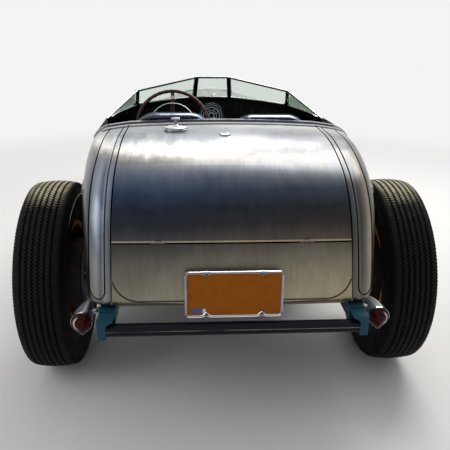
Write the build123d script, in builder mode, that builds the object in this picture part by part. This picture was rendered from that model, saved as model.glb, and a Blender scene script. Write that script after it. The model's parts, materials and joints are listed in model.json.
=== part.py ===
from build123d import *
from math import atan, cos, degrees, radians, sin, sqrt, tan
import os

os.makedirs("parts", exist_ok=True)

# Street rod roadster, fenderless, bare steel body on a painted frame.
# Millimetres. +Y is the front of the car, +X its right side, +Z up, Z = 0 the ground.

# Running gear
wheelbase = 2692.0
rear_axle_y = -1221.5
front_axle_y = rear_axle_y + wheelbase
rear_tyre_radius = 381.0
rear_tyre_width = 190.0
rear_track = 1360.0
front_tyre_radius = 348.0
front_tyre_width = 146.0
front_track = 1404.0
rim_radius = 203.0
rear_rim_width = 132.0
front_rim_width = 104.0
rim_flange_height = 15.0
rim_thickness = 6.0
axle_tube_radius = 38.0
spindle_radius = 22.0
bearing_gap = 0.3
seat_gap = 0.3
panel_gap = 5.0
drum_radius = 142.0
drum_depth = 48.0
kingpin_x = 621.0
kingpin_radius = 11.0
front_axle_drop = 100.0
steering_arm_length = 150.0

# Body
body_wall = 30.0
body_bottom_z = 484.0
body_corner_radius = 95.0
deck_top_z = 990.0
deck_crown_radius = 3000.0
lid_crown_radius = 7500.0
bottom_edge_radius = 27.0
deck_lid_half_width = 388.0
lid_bottom_z = 690.0
lid_front_y = rear_axle_y + 145.0
cockpit_rear_y = rear_axle_y + 262.0
roll_width = 22.0
rail_roll_width = 40.0
roll_height = 8.0
rail_bead_width = 30.0
bead_height = 4.0
belt_z = 802.0
belt_width = 18.0
belt_rear = -300.0
groove_depth = 5.0
groove_width = 5.5
quarter_field_x = 439.0
quarter_field_half_width = 28.0
quarter_field_z = 515.0
panel_field_z = 512.0
panel_field_corner = 88.0
rail_foot_z = 860.0
door_rear_y = rear_axle_y + 405.0
door_front_y = rear_axle_y + 905.0
sill_top_z = 520.0
firewall_y = rear_axle_y + 1750.0
firewall_thickness = 12.0
screen_base_y = rear_axle_y + 1612.0
tail_half_width = 448.0
tail_y = rear_axle_y - 600.0
tail_heading = 14.0
rear_flank_radius = 2800.0
rear_flank_turn = 8.4
flank_length = 1095.0
door_bow_radius = 2000.0
cowl_turn_radius = 1300.0
cowl_turn = 17.5
cowl_fall = 2.27
floor_thickness = 10.0
floor_z = body_bottom_z
boot_floor_z = 532.0
gearbox_half_width = 95.0
gearbox_top_z = 540.0

# Hood and grille
hood_wall = 14.0
grille_behind_axle = 132.0
grille_y = front_axle_y - grille_behind_axle
grille_depth = 98.0
grille_half_width = 272.0
grille_top_z = 905.0
grille_bottom_z = 400.0
hood_split_z = 790.0
hood_bottom_z = 500.0
bar_count = 23
bar_width = 6.0

# Frame
rail_width = 50.0
rail_top_z = body_bottom_z - seat_gap
rail_rear_depth = 46.0
rail_bottom_z = 322.0

seam_x = deck_lid_half_width + panel_gap
tail_base_z = 430.0
tail_block_half_width = 720.0


def crown_drop(radius, x):
    """How far a crowned top falls from its middle to a place beside it."""
    return radius - sqrt(radius * radius - x * x)


# The lid's flatter crown meets the quarters' at the seam
lid_top_z = deck_top_z - crown_drop(deck_crown_radius, seam_x) + crown_drop(lid_crown_radius, seam_x)


def save(piece, label):
    piece.part.label = label
    export_step(piece.part, f"parts/{label}.step")


def rod(start, end, radius):
    """A round bar between two points."""
    run = Vector(*end) - Vector(*start)
    with BuildPart() as bar:
        with BuildSketch(Plane(origin=start, z_dir=run)):
            Circle(radius)
        extrude(amount=run.length)
    return bar.part


def block(low, high):
    """A box between two corners."""
    size = [b - a for a, b in zip(low, high)]
    centre = tuple((a + b) / 2 for a, b in zip(low, high))
    with BuildPart() as brick:
        with Locations(centre):
            Box(*size)
    return brick.part


def plan_outline(inset):
    """The body's outline seen from above."""
    heading = radians(tail_heading)
    start = (tail_half_width - inset * cos(heading), tail_y + inset * sin(heading))
    with BuildSketch() as outline:
        with BuildLine():
            rear = JernArc(start, (sin(heading), cos(heading)), rear_flank_radius - inset, rear_flank_turn)
            flank = Line(rear @ 1, rear @ 1 + (rear % 1) * flank_length)
            bow = JernArc(flank @ 1, flank % 1, door_bow_radius - inset, tail_heading - rear_flank_turn)
            turn = JernArc(bow @ 1, bow % 1, cowl_turn_radius - inset, cowl_turn)
            run = (firewall_y - (turn @ 1).Y) / (turn % 1).Y
            side = Line(turn @ 1, turn @ 1 + (turn % 1) * run)
            Line(side @ 1, (0, firewall_y))
            Line((0, firewall_y), (0, start[1]))
            Line((0, start[1]), start)
        make_face()
        mirror(about=Plane.YZ)
    return outline.sketch


def at(x, station, z):
    """A point given by its distance ahead of the rear axle."""
    return (x, rear_axle_y + station, z)


def crowned_block(top_z, crown_radius, inset):
    """The body's side profile, turned about a line far below so that its top is crowned."""
    centre_z = top_z - crown_radius
    reach = degrees(atan(tail_block_half_width / (tail_base_z - centre_z)))
    fall = radians(2.0)
    start = (rear_axle_y + 38.0 - inset * sin(fall), top_z - 5.6 - inset * cos(fall) - centre_z)
    plane = Plane(
        origin=(0, 0, centre_z),
        x_dir=(0, 1, 0),
        z_dir=(cos(radians(reach)), 0, sin(radians(reach))),
    )
    # Arcs down the tail: radius, turn in degrees
    tail_arcs = [(950.0, 20.0), (330.0, 44.0), (1340.0, 12.4)]
    with BuildPart() as form:
        with BuildSketch(plane):
            with BuildLine():
                point = Vector(*start)
                heading = Vector(-cos(fall), -sin(fall))
                for radius, turn in tail_arcs:
                    arc = JernArc(point, heading, radius - inset, turn)
                    point = arc @ 1
                    heading = arc % 1
                base = tail_base_z - centre_z
                run = (point.Y - base) / -heading.Y
                foot = Line(point, point + heading * run)
                deck = Line(start, (rear_axle_y + 200.0, start[1] + tan(fall) * 162.0))
                front = (firewall_y, (deck @ 1).Y - tan(radians(cowl_fall)) * (firewall_y - (deck @ 1).X))
                Line(deck @ 1, front)
                Line(front, (firewall_y, base))
                Line((firewall_y, base), foot @ 1)
            make_face()
        revolve(axis=Axis((0, 0, centre_z), (0, 1, 0)), revolution_arc=2 * reach)
    return form.part


def above_lid(inset):
    """What the lid's flatter crown takes off the tail between the seams."""
    with BuildPart() as spare:
        add(block(at(-seam_x - 10, -900, 300), at(seam_x + 10, 400, 1300)))
        add(crowned_block(lid_top_z, lid_crown_radius, inset), mode=Mode.SUBTRACT)
    return spare.part


def body_form(inset, bottom, bottom_round=0.0):
    """The body as one block, or its hollow when inset by the wall."""
    with BuildPart() as form:
        add(crowned_block(deck_top_z, deck_crown_radius, inset))
        with BuildSketch(Plane.XY.offset(bottom)):
            add(plan_outline(inset))
        extrude(amount=1200.0 - bottom, mode=Mode.INTERSECT)
        walls = form.faces().filter_by(lambda f: abs(f.normal_at().Z) < 0.01 and abs(f.normal_at().X) > 0.5)
        rims = walls.edges().filter_by(
            lambda e: abs((e % 0.5).Z) < 0.995
            and (e @ 0.5).Z > bottom + 1.0
            and (e @ 0.5).Y < firewall_y - 1.0
        )
        fillet(rims, radius=body_corner_radius - inset)
        if bottom_round:
            feet = form.edges().filter_by(
                lambda e: abs((e @ 0.5).Z - bottom) < 0.01 and (e @ 0.5).Y < firewall_y - 1.0
            )
            fillet(feet, radius=bottom_round)
        add(above_lid(inset), mode=Mode.SUBTRACT)
    return form.part


outer = body_form(0.0, body_bottom_z, bottom_edge_radius)
inner = body_form(body_wall, body_bottom_z - 20.0)
fitted = body_form(body_wall + seat_gap, body_bottom_z - 20.0)
clear = body_form(-seat_gap, body_bottom_z - seat_gap)

# Cockpit edge seen from above: x, distance ahead of the rear axle
cockpit_edge = [(0, 262), (700, 262), (700, 900), (594, 940), (468, 1462), (112, 1612), (0, 1612)]

with BuildPart() as cockpit_cut:
    with BuildSketch(Plane.XY.offset(600.0)) as cockpit_plan:
        with BuildLine():
            Polyline([(x, rear_axle_y + s) for x, s in cockpit_edge], close=True)
        make_face()
        mirror(about=Plane.YZ)
        add(plan_outline(body_wall), mode=Mode.INTERSECT)
    extrude(amount=500.0)

# Rolled edge round the rear of the cockpit and along the doors
with BuildPart() as cockpit_roll:
    with BuildSketch(Plane.XY.offset(700.0)):
        add(cockpit_plan.sketch.faces()[0])
        offset(amount=roll_width, kind=Kind.INTERSECTION)
    extrude(amount=500.0)
    roll_front = door_front_y - rear_axle_y
    roll_rear = cockpit_rear_y - rear_axle_y - rail_roll_width
    add(block(at(-900, roll_rear, 700), at(900, roll_front, 1200)), mode=Mode.INTERSECT)
    add(block(at(-480, roll_rear, 700), at(480, roll_rear + rail_roll_width, 1200)))
    add(body_form(-roll_height, body_bottom_z), mode=Mode.INTERSECT)

# Belt line along the sides, and a bead behind the rail
with BuildPart() as beads:
    for side in (-1, 1):
        xs = sorted((side * 400, side * 900))
        add(block(at(xs[0], belt_rear, belt_z), at(xs[1], 1750, belt_z + belt_width)))
    bead_rear = lid_front_y + panel_gap - rear_axle_y
    add(block(at(-500, bead_rear, 800), at(500, bead_rear + rail_bead_width, 1200)))
    add(body_form(-bead_height, body_bottom_z), mode=Mode.INTERSECT)


def ring(outside, inside):
    """A band between two outlines in the view from behind, cut through the tail."""
    with BuildPart() as band:
        with BuildSketch(Plane(origin=(0, lid_front_y + panel_gap, 0), x_dir=(1, 0, 0), z_dir=(0, -1, 0))):
            add(outside)
            add(inside, mode=Mode.SUBTRACT)
        extrude(amount=900.0)
    return band.part


def quarter_field(side, grow):
    """The long round-ended field on each quarter, seen from behind."""
    half = quarter_field_half_width + grow
    with BuildSketch() as field:
        with Locations((side * quarter_field_x, quarter_field_z - grow + 700.0)):
            SlotOverall(1400.0, 2 * half, rotation=90)
    return field.sketch


def panel_field(grow):
    """The lower panel's field, which runs out into the seams."""
    half = seam_x - panel_gap / 2 + grow
    with BuildSketch() as field:
        with Locations((0, panel_field_z - grow + 300.0)):
            RectangleRounded(2 * half, 600.0, panel_field_corner + grow)
    return field.sketch


# Grooves round the fields and down the seams
low_top = lid_bottom_z - panel_gap
with BuildPart() as low_band:
    add(ring(panel_field(groove_width / 2), panel_field(-groove_width / 2)))
    add(block(at(-900, -900, 0), at(900, -200, low_top)), mode=Mode.INTERSECT)
with BuildPart() as grooves:
    add(low_band.part)
    for side in (-1, 1):
        add(ring(quarter_field(side, groove_width / 2), quarter_field(side, -groove_width / 2)))
        xs = sorted((side * deck_lid_half_width, side * seam_x))
        add(block(at(xs[0], -900, 0), at(xs[1], -200, low_top)))
        add(block(at(xs[0] + 1, bead_rear - 1, 900), at(xs[1] - 1, roll_rear, 1200)))
    add(body_form(groove_depth, body_bottom_z - 1.0), mode=Mode.SUBTRACT)

with BuildPart() as body_shell:
    add(outer)
    add(cockpit_roll.part)
    add(beads.part)
    add(grooves.part, mode=Mode.SUBTRACT)
    add(inner, mode=Mode.SUBTRACT)
    add(cockpit_cut.part, mode=Mode.SUBTRACT)


def panel(*regions):
    """The part of the body shell inside the given blocks."""
    with BuildPart() as piece:
        for low, high in regions:
            add(block(low, high))
        add(body_shell.part, mode=Mode.INTERSECT)
    return piece.part


def skin_x(y, z):
    """How far out the body's side is at one place."""
    with BuildPart() as probe:
        add(block((0, y - 0.5, z - 0.5), (900, y + 0.5, z + 0.5)))
        add(outer, mode=Mode.INTERSECT)
    return probe.part.bounding_box().max.X


def skin_y(x, z):
    """How far back the body's tail is at one place."""
    with BuildPart() as probe:
        add(block((x - 0.5, rear_axle_y - 900, z - 0.5), (x + 0.5, rear_axle_y, z + 0.5)))
        add(outer, mode=Mode.INTERSECT)
    return probe.part.bounding_box().min.Y


def skin_z(x, y):
    """How high the body is at one place."""
    with BuildPart() as probe:
        add(block((x - 0.5, y - 0.5, 600), (x + 0.5, y + 0.5, 1200)))
        add(outer, mode=Mode.INTERSECT)
    return probe.part.bounding_box().max.Z


# The hood meets the body flush at the firewall
hood_rear_half_width = skin_x(firewall_y - 1.0, 700.0)
hood_rear_top_z = skin_z(0.0, firewall_y - 1.0)

# Door hinges: barrels on the skin, two to a door
hinge_barrel = 7.0
hinge_pin = 3.5
hinge_leaf = 30.0
hinge_length = 22.0
hinge_heights = [565.0, 745.0]
hinge_y = door_front_y + panel_gap / 2
hinge_skin = skin_x(door_front_y, 700.0)
hinge_x = hinge_skin + hinge_barrel + 0.5


def door_hinge_leaf(side, z):
    """The door's barrel and leaf of one hinge."""
    with BuildPart() as leaf:
        low = (hinge_skin - 4.0, door_front_y - hinge_leaf, z)
        high = (hinge_skin + 3.0, hinge_y, z + hinge_length)
        add(block(low, high))
        add(rod((hinge_x, hinge_y, z), (hinge_x, hinge_y, z + hinge_length), hinge_barrel))
        bore = hinge_pin + bearing_gap
        add(rod((hinge_x, hinge_y, z - 1), (hinge_x, hinge_y, z + hinge_length + 1), bore), mode=Mode.SUBTRACT)
    return leaf.part if side > 0 else leaf.part.mirror(Plane.YZ)


def cowl_hinge_leaf(side, z):
    """The cowl's barrels, pin and leaves of one hinge."""
    with BuildPart() as leaf:
        for base in (z - hinge_length - bearing_gap, z + hinge_length + bearing_gap):
            low = (hinge_skin - 2.0, hinge_y, base)
            high = (hinge_skin + 3.0, hinge_y + hinge_leaf, base + hinge_length)
            add(block(low, high))
            add(rod((hinge_x, hinge_y, base), (hinge_x, hinge_y, base + hinge_length), hinge_barrel))
        add(rod((hinge_x, hinge_y, z - 5), (hinge_x, hinge_y, z + hinge_length + 5), hinge_pin))
    return leaf.part if side > 0 else leaf.part.mirror(Plane.YZ)


# Rear lid hinges: barrels in the gap under the lid
lid_hinge_radius = 3.2
lid_hinge_pin = 1.6
lid_hinge_z = lid_bottom_z - panel_gap / 2
lid_hinge_length = 16.0
lid_hinges = [-240.0, 240.0]
lid_hinge_y = skin_y(240.0, lid_hinge_z) + 1.0


def lid_line(x_low, x_high, radius):
    """A round bar on the rear lid's hinge axis."""
    return rod((x_low, lid_hinge_y, lid_hinge_z), (x_high, lid_hinge_y, lid_hinge_z), radius)


def hinge_notch(x):
    """The room round one lid hinge."""
    reach = 1.5 * lid_hinge_length + 2.0
    return lid_line(x - reach, x + reach, lid_hinge_radius + 2 * bearing_gap)


low_y = rear_axle_y - 900.0
lid_top = 1200.0
with BuildPart() as deck_lid:
    add(panel(((-deck_lid_half_width, low_y, lid_bottom_z), (deck_lid_half_width, lid_front_y, lid_top))))
    for x in lid_hinges:
        add(hinge_notch(x), mode=Mode.SUBTRACT)
        half = lid_hinge_length / 2
        add(block((x - half, lid_hinge_y, lid_hinge_z), (x + half, lid_hinge_y + 12, lid_bottom_z + 8)))
        add(lid_line(x - half, x + half, lid_hinge_radius))
        add(lid_line(x - half - 1, x + half + 1, lid_hinge_pin + bearing_gap), mode=Mode.SUBTRACT)
save(deck_lid, "deck_lid")

with BuildPart() as rear_panel:
    top = lid_bottom_z - panel_gap
    add(panel(((-seam_x, low_y, body_bottom_z), (seam_x, rear_axle_y - 300, top))))
    for x in lid_hinges:
        add(hinge_notch(x), mode=Mode.SUBTRACT)
        half = lid_hinge_length / 2
        for start in (x - 3 * half - bearing_gap, x + half + bearing_gap):
            end = start + lid_hinge_length
            add(lid_line(start, end, lid_hinge_radius))
            add(block((start, lid_hinge_y, top - 8), (end, lid_hinge_y + 12, lid_hinge_z)))
        add(lid_line(x - half - 3, x + half + 3, lid_hinge_pin))
save(rear_panel, "rear_panel")

rail_rear_y = lid_front_y + panel_gap
with BuildPart() as deck_rail:
    add(panel(((-900, rail_rear_y, rail_foot_z), (900, cockpit_rear_y, lid_top))))
save(deck_rail, "deck_rail")

for side, name in ((-1, "left"), (1, "right")):

    def span(x_in, y_low, z_low, x_out, y_high, z_high):
        xs = sorted((side * x_in, side * x_out))
        return ((xs[0], y_low, z_low), (xs[1], y_high, z_high))

    with BuildPart() as quarter:
        add(panel(
            span(seam_x, low_y, body_bottom_z, 900, rail_rear_y, lid_top),
            span(seam_x, rail_rear_y - 1, body_bottom_z, 900, cockpit_rear_y + 1, rail_foot_z),
            span(seam_x, cockpit_rear_y, body_bottom_z, 900, door_rear_y - panel_gap, lid_top),
            span(seam_x, door_rear_y - 20, body_bottom_z, 900, door_front_y + panel_gap, sill_top_z - panel_gap),
        ))
    save(quarter, f"quarter_{name}")

    with BuildPart() as door:
        add(panel(span(seam_x, door_rear_y, sill_top_z, 900, door_front_y, lid_top)))
        for z in hinge_heights:
            add(door_hinge_leaf(side, z))
    save(door, f"door_{name}")

with BuildPart() as firewall:
    add(block((-900, firewall_y - firewall_thickness, body_bottom_z), (900, firewall_y, lid_top)))
    add(outer, mode=Mode.INTERSECT)
    notch = gearbox_half_width + 12.0
    add(block(
        (-notch, firewall_y - 2 * firewall_thickness, 0), (notch, firewall_y + 1, gearbox_top_z + 12)
    ), mode=Mode.SUBTRACT)
with BuildPart() as cowl:
    add(panel(((-900, door_front_y + panel_gap, body_bottom_z), (900, firewall_y, lid_top))))
    add(firewall.part)
    for side in (-1, 1):
        for z in hinge_heights:
            add(cowl_hinge_leaf(side, z))
save(cowl, "cowl")

# Floor: front plate, step and boot plate, with the gearbox hump
floor_step = 330.0
hump_rear = 1230.0
hump_half_width = 132.0
hump_height = 96.0
with BuildPart() as floor:
    plates = [
        (floor_step, 1750, floor_z, floor_z + floor_thickness),
        (floor_step, floor_step + floor_thickness, floor_z, boot_floor_z + floor_thickness),
        (-900, floor_step + floor_thickness, boot_floor_z, boot_floor_z + floor_thickness),
    ]
    for rear, front, low, high in plates:
        add(block(at(-900, rear, low), at(900, front, high)))
    add(block(at(-hump_half_width, hump_rear, floor_z), at(hump_half_width, 1750, floor_z + hump_height)))
    add(fitted, mode=Mode.INTERSECT)
    add(block(
        at(-900, 1750 - firewall_thickness - seat_gap, 0), at(900, 1800, 1200)
    ), mode=Mode.SUBTRACT)
    add(block(
        at(-hump_half_width + floor_thickness, hump_rear + floor_thickness, floor_z - 1),
        at(hump_half_width - floor_thickness, 1750, floor_z + hump_height - floor_thickness),
    ), mode=Mode.SUBTRACT)
save(floor, "floor")

# Dash under the cowl's lip, with a round cluster
dash_thickness = 22.0
dash_bottom_z = 735.0
gauge_radius = 85.0
gauge_z = 812.0
dash_inset = 3.0
with BuildSketch() as cockpit_opening:
    add(cockpit_plan.sketch.faces()[0])
    offset(amount=dash_inset, kind=Kind.INTERSECTION)
with BuildPart() as dash:
    with BuildSketch(Plane.XY.offset(dash_bottom_z)):
        add(cockpit_plan.sketch.faces()[0])
        offset(amount=dash_thickness + dash_inset, kind=Kind.INTERSECTION)
        add(cockpit_opening.sketch, mode=Mode.SUBTRACT)
    extrude(amount=300.0)
    add(block(at(-900, 1340, 0), at(900, 1800, 1200)), mode=Mode.INTERSECT)
    add(rod(at(-3, 1620, gauge_z), at(-3, 1604, gauge_z), gauge_radius))
    add(fitted, mode=Mode.INTERSECT)
save(dash, "dash")

# Windshield: x, distance ahead of the rear axle, height of the screen's corners
screen_posts = {
    "inner": ((118, 1638, 920), (102, 1467, 1071)),
    "outer": ((492, 1488, 885), (473, 1367, 994)),
}
screen_tip = (606, 925, 878)
screen_rail_radius = 5.0
screen_joint_radius = 7.0
screen_post_width = 26.0
screen_post_depth = 13.0
glass_thickness = 5.0


def flat_bar(start, end, width, depth):
    """A flat bar between two points, its width across the car."""
    run = Vector(*end) - Vector(*start)
    with BuildPart() as bar:
        with BuildSketch(Plane(origin=start, x_dir=(1, 0, 0), z_dir=run)):
            RectangleRounded(width, depth, 4.0)
        extrude(amount=run.length)
    return bar.part


def screen_bars(grow):
    """The screen's rail and posts on the right side."""
    inner_foot, inner_top = screen_posts["inner"]
    outer_foot, outer_top = screen_posts["outer"]
    with BuildPart() as bars:
        for start, end in (
            ((0, inner_top[1], inner_top[2]), inner_top), (inner_top, outer_top), (outer_top, screen_tip)
        ):
            add(rod(at(*start), at(*end), screen_rail_radius + grow))
        for foot, top in ((inner_foot, inner_top), (outer_foot, outer_top)):
            add(flat_bar(at(*foot), at(*top), screen_post_width + 2 * grow, screen_post_depth + 2 * grow))
        for joint in (inner_top, outer_top, screen_tip):
            with Locations(at(*joint)):
                Sphere(screen_joint_radius + grow)
        add(clear, mode=Mode.SUBTRACT)
    return bars.part


with BuildPart() as windshield_frame:
    add(screen_bars(0.0))
    mirror(about=Plane.YZ)
save(windshield_frame, "windshield_frame")


def pane(corners):
    """A flat pane through three corners, trimmed on the frame and the body."""
    points = [Vector(*at(*c)) for c in corners]
    normal = (points[1] - points[0]).cross(points[2] - points[0]).normalized()
    plane = Plane(origin=points[0], x_dir=(points[1] - points[0]), z_dir=normal)
    local = [plane.to_local_coords(p) for p in points]
    with BuildPart() as glass:
        with BuildSketch(plane.offset(-glass_thickness / 2)):
            with BuildLine():
                Polyline([(p.X, p.Y) for p in local], close=True)
            make_face()
        extrude(amount=glass_thickness)
        add(screen_bars(seat_gap), mode=Mode.SUBTRACT)
        add(clear, mode=Mode.SUBTRACT)
    return glass.part


foot_in, top_in = screen_posts["inner"]
foot_out, top_out = screen_posts["outer"]
with BuildPart() as centre_pane:
    add(pane([(0, *foot_in[1:]), foot_in, top_in, (0, *top_in[1:])]))
    mirror(about=Plane.YZ)
with BuildPart() as windshield_glass:
    add(pane([foot_in, top_in, top_out, foot_out]))
    add(pane([foot_out, top_out, screen_tip]))
    mirror(about=Plane.YZ)
    add(centre_pane.part)
save(windshield_glass, "windshield_glass")


# Frame rails seen from above: distance ahead of the rear axle, outer edge
rail_front = wheelbase + 268.0
rail_plan = [
    (-545, 431), (250, 445), (520, 572), (1150, 582), (1750, 488), (wheelbase - 292, 385), (wheelbase, 372),
    (rail_front, 362),
]
# and from the side: distance ahead, bottom, top
rail_side = [
    (-545, 437, rail_top_z), (330, 437, rail_top_z), (600, rail_bottom_z, rail_top_z),
    (1900, rail_bottom_z, rail_top_z), (wheelbase - 342, 368, 480), (wheelbase, 385, 462), (rail_front, 400, 440),
]


def rail_inner_x(station):
    """The inner face of a rail at a distance ahead of the rear axle."""
    for (s0, x0), (s1, x1) in zip(rail_plan, rail_plan[1:]):
        if s0 <= station <= s1:
            return x0 + (x1 - x0) * (station - s0) / (s1 - s0) - rail_width
    raise ValueError(station)


with BuildPart() as frame_rails:
    with BuildSketch(Plane.XY.offset(200.0)):
        with BuildLine():
            edge = [(x, rear_axle_y + s) for s, x in rail_plan]
            Polyline(edge + [(x - rail_width, y) for x, y in reversed(edge)], close=True)
        make_face()
    extrude(amount=400.0)
    with BuildSketch(Plane.YZ):
        with BuildLine():
            lower = [(rear_axle_y + s, low) for s, low, high in rail_side]
            upper = [(rear_axle_y + s, high) for s, low, high in reversed(rail_side)]
            Polyline(lower + upper, close=True)
        make_face()
    extrude(amount=900.0, mode=Mode.INTERSECT)
    mirror(about=Plane.YZ)
save(frame_rails, "frame_rails")

# Crossmembers between the rails
spring_thickness = 36.0
rear_spring_station = -140.0
rear_spring_z = 426.0
front_spring_z = 395.0
centre_tube = (1300.0, 329.7, 20.0)
radiator_tube = (wheelbase - 162.0, 401.0, 16.0)
with BuildPart() as crossmembers:
    for station, z, radius in (centre_tube, radiator_tube):
        reach = min(rail_inner_x(station - radius), rail_inner_x(station + radius)) - seat_gap
        add(rod(at(-reach, station, z), at(reach, station, z), radius))
    for station, half, low, high in (
        (rear_spring_station, 32.0, rear_spring_z + spring_thickness / 2 + seat_gap, rail_top_z),
        (wheelbase + 8.0, 30.0, front_spring_z + spring_thickness / 2 + seat_gap, 460.0),
    ):
        reach = rail_inner_x(station + half if station > 0 else station - half) - seat_gap
        add(block(at(-reach, station - half, low), at(reach, station + half, high)))
save(crossmembers, "crossmembers")

# Spreader bar behind the body, on two brackets
horn_plate = 26.0
horn_reach = 52.0
horn_bottom_z = 409.0
horn_top_z = body_bottom_z - 6.0
horn_out = 431.0
horn_flare = 24.0
spreader_radius = 21.0
spreader_z = 433.0
rail_end = -545.0
with BuildPart() as rear_spreader_bar:
    with BuildSketch(Plane(origin=at(0, rail_end - seat_gap, 0), x_dir=(1, 0, 0), z_dir=(0, -1, 0))):
        with BuildLine():
            horn_in = horn_out - horn_plate
            Polyline([
                (horn_in, horn_bottom_z), (horn_out, horn_bottom_z), (horn_out, horn_top_z),
                (horn_in - horn_flare, horn_top_z), (horn_in - horn_flare, horn_top_z - 6),
                (horn_in - 6, horn_top_z - 16), (horn_in, horn_top_z - 32),
            ], close=True)
        make_face()
        mirror(about=Plane.YZ)
    extrude(amount=horn_reach)
    reach = horn_out - horn_plate / 2
    add(rod(at(-reach, rail_end - 30, spreader_z), at(reach, rail_end - 30, spreader_z), spreader_radius))
save(rear_spreader_bar, "rear_spreader_bar")

with BuildPart() as front_spreader_bar:
    reach = rail_inner_x(rail_front - 20.0) - 1.0
    add(rod(at(-reach, rail_front - 25, 420), at(reach, rail_front - 25, 420), 14.0))
save(front_spreader_bar, "front_spreader_bar")


def turned(points, centre):
    """A solid turned about a line along X: points are (x, radius)."""
    with BuildPart() as piece:
        with BuildSketch(Plane(origin=centre, x_dir=(1, 0, 0), z_dir=(0, -1, 0))):
            with BuildLine():
                Polyline(points, close=True)
            make_face()
        revolve(axis=Axis(centre, (1, 0, 0)))
    return piece.part


rear_hub = at(0, 0, rear_tyre_radius)
diff_radius = 115.0
backing_x = 560.0
backing_thickness = 10.0
backing_radius = 148.0
rear_wheel_x = rear_track / 2
rear_perch_x = 460.0
spring_width = 50.0
front_perch_x = 400.0
with BuildPart() as rear_axle:
    add(turned([
        (-rear_wheel_x - 20, 0), (-rear_wheel_x - 20, spindle_radius),
        (-backing_x - backing_thickness, spindle_radius), (-backing_x - backing_thickness, backing_radius),
        (-backing_x, backing_radius), (-backing_x, axle_tube_radius),
        (-130, axle_tube_radius + 8), (-60, diff_radius), (60, diff_radius), (130, axle_tube_radius + 8),
        (backing_x, axle_tube_radius), (backing_x, backing_radius),
        (backing_x + backing_thickness, backing_radius), (backing_x + backing_thickness, spindle_radius),
        (rear_wheel_x + 20, spindle_radius), (rear_wheel_x + 20, 0),
    ], rear_hub))
    for side in (-1, 1):
        xs = sorted((side * (rear_perch_x - 20), side * (rear_perch_x + 20)))
        low = at(xs[0], rear_spring_station - 25, 352)
        add(block(low, at(xs[1], 0, 390 - spring_thickness / 2 - seat_gap)))
    add(rod(at(0, 60, 381), at(0, 1240, 400), 36.0))
save(rear_axle, "rear_axle")

# Leaf springs: distance ahead, half span, height of the ends and the middle
leaf_springs = [
    (rear_spring_station, rear_perch_x, 390.0, rear_spring_z),
    (wheelbase, front_perch_x, 318.0, front_spring_z),
]
with BuildPart() as springs:
    for station, half, end_z, middle_z in leaf_springs:
        y = rear_axle_y + station + spring_width / 2
        with BuildSketch(Plane(origin=(0, y, 0), x_dir=(1, 0, 0), z_dir=(0, -1, 0))):
            with BuildLine():
                t = spring_thickness / 2
                top = ThreePointArc((-half, end_z + t), (0, middle_z + t), (half, end_z + t))
                low = ThreePointArc((-half, end_z - t), (0, middle_z - t), (half, end_z - t))
                Line(top @ 0, low @ 0)
                Line(top @ 1, low @ 1)
            make_face()
        extrude(amount=spring_width)
save(springs, "springs")

# Front axle: dropped beam with bosses for the kingpins
kingpin_z = front_tyre_radius
boss_radius = 25.0
boss_half = 35.0
beam_height = 50.0
beam_width = 44.0
beam_recess = 13.0
beam_z = kingpin_z - front_axle_drop
hairpin_front_x = 440.0
with BuildPart() as front_axle:
    with BuildSketch(Plane(origin=at(0, wheelbase + beam_width / 2, 0), x_dir=(1, 0, 0), z_dir=(0, -1, 0))):
        with BuildLine():
            path = Polyline([
                (kingpin_x - 10, kingpin_z), (570, kingpin_z - 8), (490, beam_z + 4), (0, beam_z),
                (-490, beam_z + 4), (-570, kingpin_z - 8), (-kingpin_x + 10, kingpin_z),
            ])
        trace(path, line_width=beam_height)
    extrude(amount=beam_width)
    for face in (wheelbase + beam_width / 2, wheelbase - beam_width / 2 + beam_recess):
        with BuildSketch(Plane(origin=at(0, face, 0), x_dir=(1, 0, 0), z_dir=(0, -1, 0))):
            with BuildLine():
                Polyline([(480, beam_z + 4), (0, beam_z), (-480, beam_z + 4)])
            trace(line_width=beam_height - 18)
        extrude(amount=beam_recess, mode=Mode.SUBTRACT)
    for side in (-1, 1):
        x = side * kingpin_x
        add(rod(at(x, wheelbase, kingpin_z - boss_half), at(x, wheelbase, kingpin_z + boss_half), boss_radius))
        perch = side * front_perch_x
        add(block(
            at(perch - 22, wheelbase - 22, beam_z), at(perch + 22, wheelbase + 22, 300.0 - seat_gap)
        ))
    for side in (-1, 1):
        x = side * kingpin_x
        bore = kingpin_radius + bearing_gap
        add(rod(at(x, wheelbase, 200), at(x, wheelbase, 500), bore), mode=Mode.SUBTRACT)
    for side in (-1, 1):
        x = side * hairpin_front_x
        add(block(at(x - 9, wheelbase - 44, 205), at(x + 9, wheelbase - 15, 332)))
save(front_axle, "front_axle")

# Hairpin rods from the axle back to the rails
hairpin_front = wheelbase - 44.0 - seat_gap
hairpin_rear = wheelbase - 572.0
hairpin_radius = 11.0
hairpin_rear_x = rail_inner_x(hairpin_rear - 16.0) + rail_width + seat_gap + 16.0
with BuildPart() as hairpins:
    for side in (-1, 1):
        rear = at(side * hairpin_rear_x, hairpin_rear, 340)
        for z in (316, 221):
            add(rod(at(side * hairpin_front_x, wheelbase - 30.0, z), rear, hairpin_radius))
    add(block(at(-600, hairpin_front, 100), at(600, wheelbase + 100, 500)), mode=Mode.SUBTRACT)
    for side in (-1, 1):
        inner_end = at(side * (hairpin_rear_x - 16.0), hairpin_rear, 340)
        outer_end = at(side * (hairpin_rear_x + 14.0), hairpin_rear, 340)
        add(rod(inner_end, outer_end, 16.0))
save(hairpins, "hairpins")


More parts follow.
